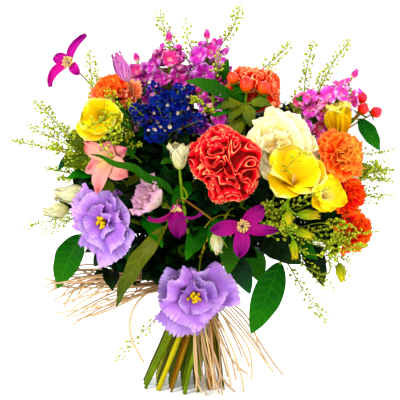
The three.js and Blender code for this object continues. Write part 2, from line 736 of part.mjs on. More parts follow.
// How the stems of each kind are made. girth is the width at the cut end as a share of the width in
// the tie, topR the radius at the head, and calyx the radius and length of the cup under the bloom.
const KINDS = {
  lisianthus: { colour: GREEN, calyx: [4.2, 9] },
  celosia: { colour: GREEN, topR: 2.6, calyx: [4.4, 7] },
  carnation: { colour: GREEN, calyx: [6.5, 18] },
  spray: { colour: GREEN, calyx: [5, 14] },
  freesia: { colour: GREEN, girth: 0.8, topR: 1.5, calyx: [2.4, 7] },
  alstroemeria: { colour: GREEN, calyx: [2.8, 8] },
  hypericum: { colour: GREEN, girth: 0.9, topR: 1.4 },
  statice: { colour: BLUE, calyx: [3.4, 5] },
  stock: { colour: MAGENTA, girth: 1.1, topR: 1.6 },
  clematis: { colour: MAGENTA, girth: 0.6, topR: 1.1 },
  thlaspi: { colour: POD_GREEN, girth: 0.9, topR: 1.2 },
  foliage: { colour: DARK_GREEN, girth: 0.9, topR: 1.5 },
};

// Each stem with the place of its head and the way that its bloom opens
const stems = [
  ["lisianthus_left_stem", [-76, -84, 196], [-0.45, -0.87, 0.05]],
  ["lisianthus_low_stem", [13, -60, 116], [0, -0.98, -0.18], { steps: 6 }],
  ["lisianthus_bud_stem", [-2, -130, 256], [-0.05, -0.3, 0.95], { girth: 0.7, topR: 1.3, calyx: [0, 0] }],
  ["celosia_red_stem", [41, -104, 256], [0.1, -0.98, 0.14]],
  ["carnation_cream_stem", [93, -99, 270], [0.32, -0.9, 0.26]],
  ["freesia_right_stem", [111, -137, 235], [0.05, -0.66, 0.75]],
  ["freesia_upper_stem", [166, -58, 276], [-0.08, -0.25, 0.96]],
  ["spray_carnation_right_stem", [157, -90, 262], [0.5, -0.8, 0.3]],
  ["spray_carnation_left_stem", [-67, -50, 313], [-0.3, -0.55, 0.78]],
  ["freesia_left_stem", [-80, -86, 299], [-0.15, -0.93, 0.33]],
  ["celosia_coral_stem", [72, -44, 308], [0.1, -0.4, 0.91]],
  ["hypericum_top_stem", [66, -92, 330], [0, -0.1, 0.99]],
  ["hypericum_right_stem", [190, -30, 303], [0.6, -0.1, 0.8]],
  ["statice_stem", [-13, -76, 288], [0, -0.42, 0.9]],
  ["stock_top_left_stem", [-13, -42, 376], [0.15, 0, 1]],
  ["stock_top_right_stem", [26, -44, 380], [0, 0, 1]],
  ["stock_centre_stem", [32, -100, 330], [0, -0.3, 0.95]],
  ["stock_right_stem", [179, -45, 332], [0.75, 0, 0.66]],
  ["clematis_left_stem", [-121, -8, 355], [-0.3, -0.85, 0.4]],
  ["clematis_front_stem", [61, -134, 198], [0.1, -0.97, 0.15]],
  ["alstroemeria_left_stem", [-69, -100, 266], [-0.45, -0.88, -0.1]],
  ["lisianthus_back_stem", [-62, 84, 192], [-0.45, 0.89, 0.05]],
  ["celosia_back_stem", [-4, 100, 258], [-0.05, 0.98, 0.18]],
  ["carnation_cream_back_stem", [86, 92, 268], [0.45, 0.8, 0.4]],
  ["spray_carnation_back_stem", [-84, 66, 278], [-0.6, 0.65, 0.45]],
  ["freesia_back_stem", [50, 112, 205], [0.2, 0.96, 0.05]],
  ["statice_back_stem", [34, 62, 304], [0.1, 0.6, 0.78]],
  ["stock_back_stem", [-50, 42, 352], [-0.2, 0.2, 0.96]],
  ["alstroemeria_back_stem", [108, 78, 196], [0.65, 0.73, -0.15]],
  ["thlaspi_left", [-104, -40, 262], [-0.8, -0.2, 0.5]],
  ["thlaspi_right", [134, -14, 300], [0.5, 0, 0.8]],
  ["thlaspi_low", [96, -76, 180], [0.85, -0.45, -0.1]],
  ["thlaspi_top", [24, 0, 350], [0.05, 0, 1]],
  ["foliage_left_stem", [-84, -30, 182], [-0.95, -0.1, 0.1]],
  ["foliage_right_stem", [112, -26, 176], [0.9, -0.2, 0.1]],
  ["foliage_back_stem", [14, 80, 168], [0, 0.95, 0.1]],
].map(([name, head, facing, own]) => ({ name, head, facing, ...KINDS[name.split("_")[0]], ...own }));

giveSlots(stems);
for (const stem of [...stems].sort((a, b) => a.slot.length() - b.slot.length())) {
  begin(stem.name, stem.colour);
  growStem(stem);
}
const named = Object.fromEntries(stems.map((s) => [s.name, s]));
const atHead = (stemName) => ({ head: named[stemName].head, facing: named[stemName].facing });

// A side branch of a stem that carries a bloom of its own.
function sideHead(stemName, share, { head, facing }, calyx, radius = [1.7, 1.4]) {
  const options = { radius, steps: 3, sides: 5, calyx };
  addBranch(stemName, named[stemName], share, v3(...head), toward(facing), options);
}

// Every side branch comes before the first bloom, so that none has to pass through petals.
const pale = { head: [-19, -125, 219], facing: [-0.8, -0.35, 0.45] };
const middleOrange = { head: [166, -82, 223], facing: [0.75, -0.65, 0.05] };
const lowOrange = { head: [170, -64, 184], facing: [0.75, -0.65, -0.12] };
const smallCream = { head: [138, 52, 228], facing: [0.85, 0.5, 0.1] };
const sideFreesia = { head: [142, -104, 222], facing: [0.35, -0.85, 0.35] };
const bell = { head: [-5, -138, 221], facing: [0, -0.5, -0.86] };
sideHead("lisianthus_left_stem", 0.5, pale, [3, 7]);
sideHead("spray_carnation_right_stem", 0.45, middleOrange, [4.5, 12]);
sideHead("spray_carnation_right_stem", 0.25, lowOrange, [5, 13]);
sideHead("carnation_cream_back_stem", 0.5, smallCream, [5, 13]);
sideHead("freesia_right_stem", 0.6, sideFreesia, [2.2, 6], [1.3, 1.1]);
sideHead("clematis_front_stem", 0.5, bell, [0, 0], [1.2, 1]);
addBeadOnBranch("clematis_left_stem", 0.55, [-69, -84, 371], [-0.43, 0, 0.9], 31, 7, [1.1, 1]);

// Crested and double blooms
celosia("celosia_red_head", {
  ...atHead("celosia_red_stem"), radius: 38, colour: RED, folds: 10, around: 20, bay: [222, 0.3],
});
celosia("celosia_coral_head", {
  ...atHead("celosia_coral_stem"), radius: 31, colour: CORAL, folds: 8, around: 18,
});
celosia("celosia_back_head", {
  ...atHead("celosia_back_stem"), radius: 36, colour: RED, folds: 8, around: 18,
});
carnation("carnation_cream_bloom", {
  ...atHead("carnation_cream_stem"), radius: 41, colour: CREAM, layers: FULL_LAYERS,
});
carnation("carnation_cream_back_bloom", {
  ...atHead("carnation_cream_back_stem"), radius: 38, colour: CREAM, layers: FULL_LAYERS,
});
lisianthus("lisianthus_left_bloom", { ...atHead("lisianthus_left_stem"), radius: 34 });
lisianthus("lisianthus_low_bloom", { ...atHead("lisianthus_low_stem"), radius: 36, spin: 0.5 });
lisianthus("lisianthus_back_bloom", { ...atHead("lisianthus_back_stem"), radius: 37, spin: 1, cells: 2 });
paleLisianthus("lisianthus_pale_bloom", { ...pale, radius: 17 });
const sprayCarnations = [
  ["carnation_right_upper_bloom", atHead("spray_carnation_right_stem"), 27, ORANGE],
  ["carnation_right_middle_bloom", middleOrange, 21, RED_ORANGE],
  ["carnation_right_low_bloom", lowOrange, 26, RED_ORANGE],
  ["carnation_left_bloom", atHead("spray_carnation_left_stem"), 29, CORAL],
  ["carnation_back_left_bloom", atHead("spray_carnation_back_stem"), 28, ORANGE],
  ["carnation_back_right_bloom", smallCream, 26, CREAM],
];
for (const [name, place, radius, colour] of sprayCarnations) {
  carnation(name, { ...place, radius, colour, layers: SPRAY_LAYERS });
}
alstroemeria("alstroemeria_left_bloom", { ...atHead("alstroemeria_left_stem"), radius: 28, spin: 0.4 });
alstroemeria("alstroemeria_back_bloom", { ...atHead("alstroemeria_back_stem"), radius: 28 });
const freesias = [
  ["freesia_right_bloom", atHead("freesia_right_stem"), 28, 1],
  ["freesia_side_bloom", sideFreesia, 20, 0.95],
  ["freesia_upper_bloom", atHead("freesia_upper_stem"), 24, 0.55],
  ["freesia_left_bloom", atHead("freesia_left_stem"), 24, 0.95],
  ["freesia_back_bloom", atHead("freesia_back_stem"), 27, 1],
];
for (const [name, place, radius, close] of freesias) freesiaBloom(name, { ...place, radius, close });

// Clematis: open stars and a nodding bell, each fused to its stem
clematis("clematis_left_stem", {
  ...atHead("clematis_left_stem"), radius: 26, lift: [50, 96],
  turns: [65, 140, 203, 305], sizes: [1, 0.66, 1, 0.7],
});
clematis("clematis_front_stem", {
  ...atHead("clematis_front_stem"), radius: 29, lift: [62, 88],
  turns: [50, 190, 272, 345], sizes: [0.9, 1, 0.95, 1],
});
clematis("clematis_front_stem", {
  ...bell, radius: 30, lift: [20, 92], turns: [10, 90, 182, 275], sizes: [1, 0.8, 1, 0.9],
});

// Heads of blue fingers and spikes of magenta florets
addFingers(named.statice_stem, { count: 8, reach: 56, thick: 9, spread: 66 });
addFingers(named.statice_back_stem, { count: 7, reach: 48, thick: 9, spread: 62 });
addFlorets(named.stock_top_left_stem, { count: 9, from: 0.74, radius: 14, reach: 15 });
addFlorets(named.stock_top_right_stem, { count: 9, from: 0.78, radius: 14, reach: 15 });
addFlorets(named.stock_centre_stem, { count: 8, from: 0.8, radius: 12, reach: 9 });
addFlorets(named.stock_right_stem, { count: 9, from: 0.66, radius: 14, reach: 13 });
addFlorets(named.stock_back_stem, { count: 8, from: 0.74, radius: 13, reach: 11 });

// Berries, buds and their leaves
addBead("hypericum_top_stem", v3(...named.hypericum_top_stem.head), toward([0, 0.05, 1]), 18, 7);
addBeadOnBranch("hypericum_top_stem", 0.9, [50, -80, 352], [-0.3, 0, 0.95], 15, 6.2);
addBeadOnBranch("hypericum_top_stem", 0.9, [88, -88, 342], [0.5, 0, 0.86], 15, 6.5);
addBeadOnBranch("hypericum_right_stem", 0.9, [194, -16, 327], [0.1, 0, 1], 14, 6);
addBead("hypericum_right_stem", v3(...named.hypericum_right_stem.head), toward([0.45, -0.1, 0.88]), 14, 6.5);
addBeadOnBranch("hypericum_right_stem", 0.85, [215, -20, 308], [0.85, 0, 0.45], 14, 6.5);
addBead("lisianthus_bud_stem", v3(...named.lisianthus_bud_stem.head), toward([0, -0.2, 1]), 27, 9.5);
addBeadOnBranch("lisianthus_left_stem", 0.7, [-134, -72, 223], [-0.97, -0.1, 0.1], 38, 9, [1.5, 1.3]);
addBeadOnBranch("lisianthus_left_stem", 0.55, [-146, -72, 203], [-0.97, -0.1, -0.1], 25, 6.5, [1.5, 1.3]);
addBeadOnBranch("lisianthus_low_stem", 0.35, [38, -126, 168], [0.2, -0.4, -0.9], 22, 8, [1.5, 1.3]);
addBeadOnBranch("freesia_right_stem", 0.85, [101, -142, 206], [-0.1, -0.7, -0.7], 15, 5.5);
addBeadOnBranch("freesia_right_stem", 0.9, [118, -146, 212], [0.15, -0.8, -0.55], 22, 5.5);
addBeadOnBranch("freesia_upper_stem", 0.5, [148, -122, 204], [0.2, -0.7, 0.6], 20, 4.5);
addBeadOnBranch("freesia_right_stem", 0.5, [110, -132, 172], [0, -0.3, -0.95], 20, 4.5);
addBeadOnBranch("thlaspi_low", 0.8, [156, -92, 146], [0.3, -0.3, -0.9], 20, 6);

// The tie: a six-sided raffia band, flat against each row of outer stems, that turns with the bunch
const BAND_ROOM = STEM_PITCH * 3 * Math.cos(Math.PI / 6) + STEM_R + 1.2;
begin("raffia_band", 0xdcb27c, 0.8);
{
  const inner = [TIE_Z + BAND_ABOVE, TIE_Z, TIE_Z - BAND_BELOW].map((z) => [BAND_ROOM, z]);
  const outer = inner.map(([r, z]) => [r + BAND_T, z]).reverse();
  const flatToCorner = 1 / Math.cos(Math.PI / 6);
  const outline = [...inner, ...outer, inner[0]].map(([r, z]) => new THREE.Vector2(r * flatToCorner, z));
  const geometry = new THREE.LatheGeometry(outline, 6, Math.PI / 6).rotateX(Math.PI / 2);
  const corners = geometry.getAttribute("position");
  for (let i = 0; i < corners.count; i++) {
    const p = inBunch(new THREE.Vector2(corners.getX(i), corners.getY(i)), corners.getZ(i));
    corners.setXYZ(i, p.x, p.y, p.z);
  }
  add("raffia_band", solidOf(geometry));
}

// Leaves
addLeaf("foliage_left_stem", 0.97, [-108, -60, 178], [-133, -64, 120], 30, [-0.2, -1, 0.1], 0.08);
addLeaf("foliage_left_stem", 0.7, [-20, -100, 200], [-70, -96, 106], 24, [-0.3, -0.9, 0.3], 0.14);
addLeaf("foliage_right_stem", 0.8, [104, -72, 150], [73, -74, 73], 32, [0, -1, 0.2], 0.08);
addLeaf("foliage_right_stem", 0.95, [128, -74, 172], [149, -80, 126], 24, [0.3, -0.9, 0.2], 0.08);
addLeaf("foliage_right_stem", 0.5, [80, -98, 190], [122, -108, 154], 40, [0.2, -0.9, 0.4], 0.06);
addLeaf("foliage_right_stem", 0.3, [52, -96, 164], [71, -104, 122], 22, [0.1, -1, 0.2], 0.08);
addLeaf("alstroemeria_left_stem", 0.7, [-62, -142, 263], [4, -150, 234], 14, [0, -0.5, 0.9], 0.12);
addLeaf("hypericum_right_stem", 0.8, [188, -26, 298], [213, -20, 263], 16, [0, -0.9, 0.4], 0.06);
addLeaf("hypericum_top_stem", 0.75, [62, -104, 302], [52, -112, 282], 18, [-0.3, -0.8, 0.6], 0.1, SMALL_LEAF);
addLeaf("foliage_back_stem", 0.97, [14, 104, 172], [8, 128, 112], 34, [0, 1, 0.3], 0.08);
addLeaf("foliage_back_stem", 0.6, [64, 78, 150], [92, 92, 92], 32, [0.3, 0.9, 0.2], 0.08);
addLeaf("foliage_back_stem", 0.5, [-40, 68, 150], [-70, 80, 88], 30, [-0.3, 0.9, 0.2], 0.08);
addLeaf("foliage_left_stem", 0.9, [-100, 10, 170], [-140, 22, 118], 32, [-0.9, 0.3, 0.3], 0.08);
addLeaf("alstroemeria_back_stem", 0.8, [128, 30, 186], [168, 20, 140], 30, [0.9, 0, 0.4], 0.08);

// Wands of pods out to the furthest tips
addWand("thlaspi_top", 0.9, [-24, -24, 410], [0, 0, 1]);
addWand("thlaspi_top", 0.98, [61, -16, 417], [-0.05, 0, 1]);
addWand("thlaspi_top", 0.75, [114, -30, 378], [0.5, 0, 0.85]);
addWand("thlaspi_right", 0.9, [141, 0, 377], [0.4, 0, 0.9]);
addWand("thlaspi_right", 0.97, [180, 4, 379], [0.7, 0, 0.7]);
addWand("thlaspi_left", 0.8, [-99, -36, 368], [-0.2, 0, 1]);
addWand("thlaspi_left", 0.98, [-160, 0, 313], [-0.75, 0.2, 0.6]);
addWand("thlaspi_left", 0.85, [-186, 8, 270], [-1, 0.1, 0.15]);
addWand("thlaspi_left", 0.6, [-144, -44, 246], [-0.9, 0, 0.3]);
addWand("thlaspi_left", 0.35, [-171, -22, 180], [-0.9, 0, -0.15]);
addWand("thlaspi_low", 0.3, [-70, -54, 40], [-0.5, -0.1, -0.85]);
addWand("thlaspi_low", 0.8, [156, -32, 78], [0.7, 0.2, -0.7]);
addWand("thlaspi_low", 0.95, [178, -44, 146], [0.8, 0, -0.5]);
addWand("thlaspi_right", 0.6, [231, 16, 238], [0.9, 0.1, 0.3]);
addWand("thlaspi_right", 0.5, [60, 128, 300], [0.1, 0.9, 0.4]);
addWand("thlaspi_top", 0.6, [-60, 120, 320], [-0.4, 0.7, 0.6]);

// Loose raffia ends from a knot at the front of the tie
begin("raffia_ends", 0xe8c08c, 0.8);
const knot = v3(TIE_X - 4, -BAND_ROOM - BAND_T - 6, TIE_Z - 2);
add("raffia_ends", turned([[0, -6], [4, -5], [5.2, 0], [4, 5], [0, 6]], 8, frameAt(knot, v3(1, 0, 0))));
const raffiaTips = [
  [-141, -60, 124], [-144, -44, 111], [-135, -62, 93], [-112, -34, 84], [-112, -52, 139], [-44, -60, 41],
  [81, -60, 59], [90, -52, 36], [98, -42, 23], [57, -60, 21], [45, -58, 8], [14, -62, 7],
];
for (const tip of raffiaTips) {
  const end = v3(...tip);
  const away = end.clone().sub(knot);
  const found = addFirstFree("raffia_ends", 60, (step) => {
    const loose = 0.05 + step * 0.015;
    const nudge = () => v3(jitter(loose), jitter(loose) - 0.1, jitter(loose));
    const leave = away.clone().normalize().add(v3(0, -0.3, 0.35)).add(nudge()).normalize();
    const fall = v3(Math.sign(away.x) * 0.6, 0, -0.8).add(nudge()).normalize();
    const start = knot.clone().add(v3(jitter(2), jitter(1.5), jitter(2)));
    const points = wayPoints(start, leave, end, fall, 3, 0.36 + jitter(loose * 0.2));
    return tube(points, points.map(() => 0.9), { sides: 3 });
  });
  if (!found) console.warn(`raffia: no free way to ${tip}`);
}

// Assembly: each piece's solids are joined into one body.
const bouquet = new THREE.Group();
for (const [name, { parts, colour, roughness }] of pieces) {
  if (!parts.length) continue;
  const joined = parts.slice(1).reduce((whole, part) => whole.add(part.solid), parts[0].solid);
  const bodies = joined.decompose().sort((a, b) => b.volume() - a.volume());
  if (bodies.length > 1) console.warn(`${name}: ${bodies.length - 1} loose scraps dropped`);
  const mesh = bodies[0].getMesh();
  const geometry = new THREE.BufferGeometry();
  geometry.setAttribute("position", new THREE.BufferAttribute(mesh.vertProperties, 3));
  geometry.setIndex(new THREE.BufferAttribute(mesh.triVerts, 1));
  const material = new THREE.MeshStandardMaterial({ color: colour, roughness, metalness: 0 });
  const piece = new THREE.Mesh(geometry, material);
  piece.name = name;
  bouquet.add(piece);
}

export default bouquet;
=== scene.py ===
"""A hand-tied mixed bouquet, dressed over its frame.

Lengths are in millimetres until a piece is made, which turns them into metres. Every vertex carries
four numbers for its material, named form: how far along its petal, leaf or stem it lies, how far
across, a random number that its whole petal or floret shares, and how near it is to a crest's edge.
"""

from math import copysign, cos, hypot, log, pi, radians, sin, sqrt

import bpy
import numpy as np
from mathutils import Matrix, Vector
from mathutils.bvhtree import BVHTree


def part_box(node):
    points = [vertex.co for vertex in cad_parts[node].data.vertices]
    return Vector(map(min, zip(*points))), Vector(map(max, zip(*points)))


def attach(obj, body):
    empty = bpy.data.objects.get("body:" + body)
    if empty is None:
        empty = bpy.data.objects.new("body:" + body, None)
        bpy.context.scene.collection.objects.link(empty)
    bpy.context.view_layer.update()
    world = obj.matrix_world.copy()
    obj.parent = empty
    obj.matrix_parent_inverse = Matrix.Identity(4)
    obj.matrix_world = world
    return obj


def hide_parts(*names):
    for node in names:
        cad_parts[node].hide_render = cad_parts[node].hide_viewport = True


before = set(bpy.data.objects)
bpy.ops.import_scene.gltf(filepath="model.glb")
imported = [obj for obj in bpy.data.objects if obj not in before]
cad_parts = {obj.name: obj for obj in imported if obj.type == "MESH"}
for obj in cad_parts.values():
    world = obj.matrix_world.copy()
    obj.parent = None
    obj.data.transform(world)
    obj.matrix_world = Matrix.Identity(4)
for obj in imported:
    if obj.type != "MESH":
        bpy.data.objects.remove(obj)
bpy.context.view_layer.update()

MM = 0.001
TAU = 2 * pi
GOLDEN = 2.39996
rng = np.random.default_rng(11)

# The camera stands where the photograph was taken from.
VIEW_ELEVATION = radians(8)
VIEW_DISTANCE = 1.6
VIEW_TARGET = (0.0187, 0.0, 0.206)
VIEW_LENS = 130.9
VIEW_SENSOR = 36

# The tie round the stems, and the height from which they spread out
TIE_X = 17
TIE_Z = 122
FLARE_TOP = 144


def v(*numbers):
    return np.array(numbers, float)


def unit(a):
    a = np.asarray(a, float)
    return a / max(np.linalg.norm(a), 1e-9)


def round_z(angle, far=1.0, z=0.0):
    """The point at an angle round the Z axis."""
    return v(far * cos(angle), far * sin(angle), z)


def turn_to(facing, spin=0.0):
    """The rotation that brings Z to facing, after a spin about Z."""
    swing = Vector((0, 0, 1)).rotation_difference(Vector(unit(facing)))
    return np.array(swing.to_matrix() @ Matrix.Rotation(spin, 3, "Z"))


def around_z(angle):
    c, s = cos(angle), sin(angle)
    return np.array([[c, -s, 0], [s, c, 0], [0, 0, 1]])


def grid_quads(rows, cols, wrap):
    i = np.arange(rows - 1)[:, None]
    j = np.arange(cols if wrap else cols - 1)[None, :]
    after = (j + 1) % cols
    corners = [i * cols + j, i * cols + after, (i + 1) * cols + after, (i + 1) * cols + j]
    return np.stack([np.broadcast_to(c, (rows - 1, j.shape[1])) for c in corners], -1).reshape(-1, 4)


def form_of(along, across, shared, edge=0.0):
    return np.stack(np.broadcast_arrays(along, across, shared, edge), -1).astype(float)


class Shape:
    """A growing mesh of quads."""

    def __init__(self):
        self.points, self.quads, self.form, self.count = [], [], [], 0

    def put(self, points, quads, form):
        self.points.append(points)
        self.quads.append(quads + self.count)
        self.form.append(np.clip(form, 0, 1))
        self.count += len(points)

    def grid(self, points, form, wrap=False):
        rows, cols = points.shape[:2]
        self.put(points.reshape(-1, 3), grid_quads(rows, cols, wrap), form.reshape(-1, 4))

    def arrays(self):
        return np.concatenate(self.points), np.concatenate(self.quads), np.concatenate(self.form)

    def scatter(self, model, places, turns, sizes):
        """A copy of a small model at each place, each with a random number of its own."""
        points, quads, form = model.arrays()
        for place, turn, size in zip(places, turns, sizes):
            own = form.copy()
            own[:, 2] = rng.random()
            self.put(points @ turn.T * size + place, quads, own)


# Colours and materials


def colour(tint, dim=1.0):
    """A colour of the screen, from 0 to 255, as the renderer's linear colour."""
    return tuple(dim * (c / 255) ** 2.2 for c in tint) + (1.0,)


def fill(tree, socket, value):
    if isinstance(value, bpy.types.NodeSocket):
        tree.links.new(value, socket)
    else:
        socket.default_value = value


def node(tree, kind, inputs=None, **settings):
    made = tree.nodes.new("ShaderNode" + kind)
    for key, value in settings.items():
        setattr(made, key, value)
    for key, value in (inputs or {}).items():
        fill(tree, made.inputs[key], value)
    return made


def maths(tree, operation, *inputs, clamp=False):
    return node(tree, "Math", dict(enumerate(inputs)), operation=operation, use_clamp=clamp).outputs[0]


def mixed(tree, share, low, high):
    return node(tree, "Mix", {0: share, 6: low, 7: high}, data_type="RGBA").outputs[2]


def leaf_veins(tree, along, across, veins):
    """A midrib, and side veins that slant from it towards the tip."""
    away = maths(tree, "ABSOLUTE", maths(tree, "MULTIPLY_ADD", across, 2.0, -1.0))
    rib = maths(tree, "SUBTRACT", 1.0, maths(tree, "MULTIPLY", away, 12.0), clamp=True)
    slant = maths(tree, "MULTIPLY_ADD", away, -2.6, maths(tree, "MULTIPLY", along, veins * pi))
    side = maths(tree, "POWER", maths(tree, "ABSOLUTE", maths(tree, "COSINE", slant)), 14.0)
    return maths(tree, "MAXIMUM", rib, maths(tree, "MULTIPLY", side, 0.55))


def surface(
    name, vary, hue, dim, vein_colour, stops, source="Red", grain=0.12, scale=220, vein=0.0, veins=9,
    pinnate=False, rough=0.55, soft=0.12, coat=0.0, gloss=0.06, bump=0.25, bump_scale=900,
):
    """A living surface: a ramp of colours along its form, grain, veins and a shade of each element's own."""
    material = bpy.data.materials.new(name)
    material.use_nodes = True
    tree = material.node_tree
    tree.nodes.clear()
    form = node(tree, "Attribute", attribute_name="form")
    parts = node(tree, "SeparateColor", {"Color": form.outputs["Color"]})
    channel = form.outputs["Alpha"] if source == "Alpha" else parts.outputs[source]
    place = node(tree, "TexCoord").outputs["Object"]
    noise = node(tree, "TexNoise", {"Vector": place, "Scale": scale, "Detail": 3.0}).outputs[0]
    shift = maths(tree, "MULTIPLY", maths(tree, "SUBTRACT", noise, 0.5), grain * 2)
    ramp = node(tree, "ValToRGB", {"Fac": maths(tree, "ADD", channel, shift, clamp=True)})
    elements = ramp.color_ramp.elements
    while len(elements) < len(stops):
        elements.new(0.5)
    for element, (position, *tint) in zip(elements, stops):
        element.position = position
        element.color = colour(tint, dim)
    paint = ramp.outputs[0]
    height = noise
    if vein:
        if pinnate:
            line = leaf_veins(tree, parts.outputs["Red"], parts.outputs["Green"], veins)
        else:
            wander = maths(tree, "MULTIPLY", noise, 1.6)
            phase = maths(tree, "MULTIPLY_ADD", parts.outputs["Green"], veins * TAU, wander)
            line = maths(tree, "POWER", maths(tree, "ABSOLUTE", maths(tree, "COSINE", phase)), 5.0)
        paint = mixed(tree, maths(tree, "MULTIPLY", line, vein), paint, colour(vein_colour, dim))
        height = maths(tree, "MULTIPLY_ADD", line, -0.6, noise)
    own = parts.outputs["Blue"]
    shade = node(tree, "HueSaturation", {
        "Hue": maths(tree, "MULTIPLY_ADD", own, 2 * hue, 0.5 - hue),
        "Value": maths(tree, "MULTIPLY_ADD", own, vary, 1 - vary * 0.6),
        "Color": paint,
    })
    fine = node(tree, "TexNoise", {"Vector": place, "Scale": bump_scale, "Detail": 2.0}).outputs[0]
    relief = maths(tree, "MULTIPLY_ADD", fine, 0.5, height)
    bumped = node(tree, "Bump", {"Height": relief, "Strength": bump, "Distance": 0.0006})
    shader = node(tree, "BsdfPrincipled", {
        "Base Color": shade.outputs[0],
        "Roughness": rough,
        "Specular IOR Level": gloss,
        "Subsurface Weight": soft,
        "Subsurface Radius": (0.007, 0.004, 0.003),
        "Subsurface Scale": 1.0,
        "Coat Weight": coat,
        "Coat Roughness": 0.15,
        "Normal": bumped.outputs[0],
    })
    node(tree, "OutputMaterial", {"Surface": shader.outputs[0]})
    return material


STEM = dict(rough=0.5, grain=0.4, scale=45, vein=0.5, veins=3, gloss=0.04)
CRESTED = dict(source="Alpha", grain=0.06, scale=700, rough=0.8, soft=0.15, bump=0.5, bump_scale=2500)
FRINGED = dict(grain=0.2, scale=120, rough=0.7, soft=0.4, vein=0.15, veins=6)
GRAINY = dict(grain=0.1, rough=0.7)
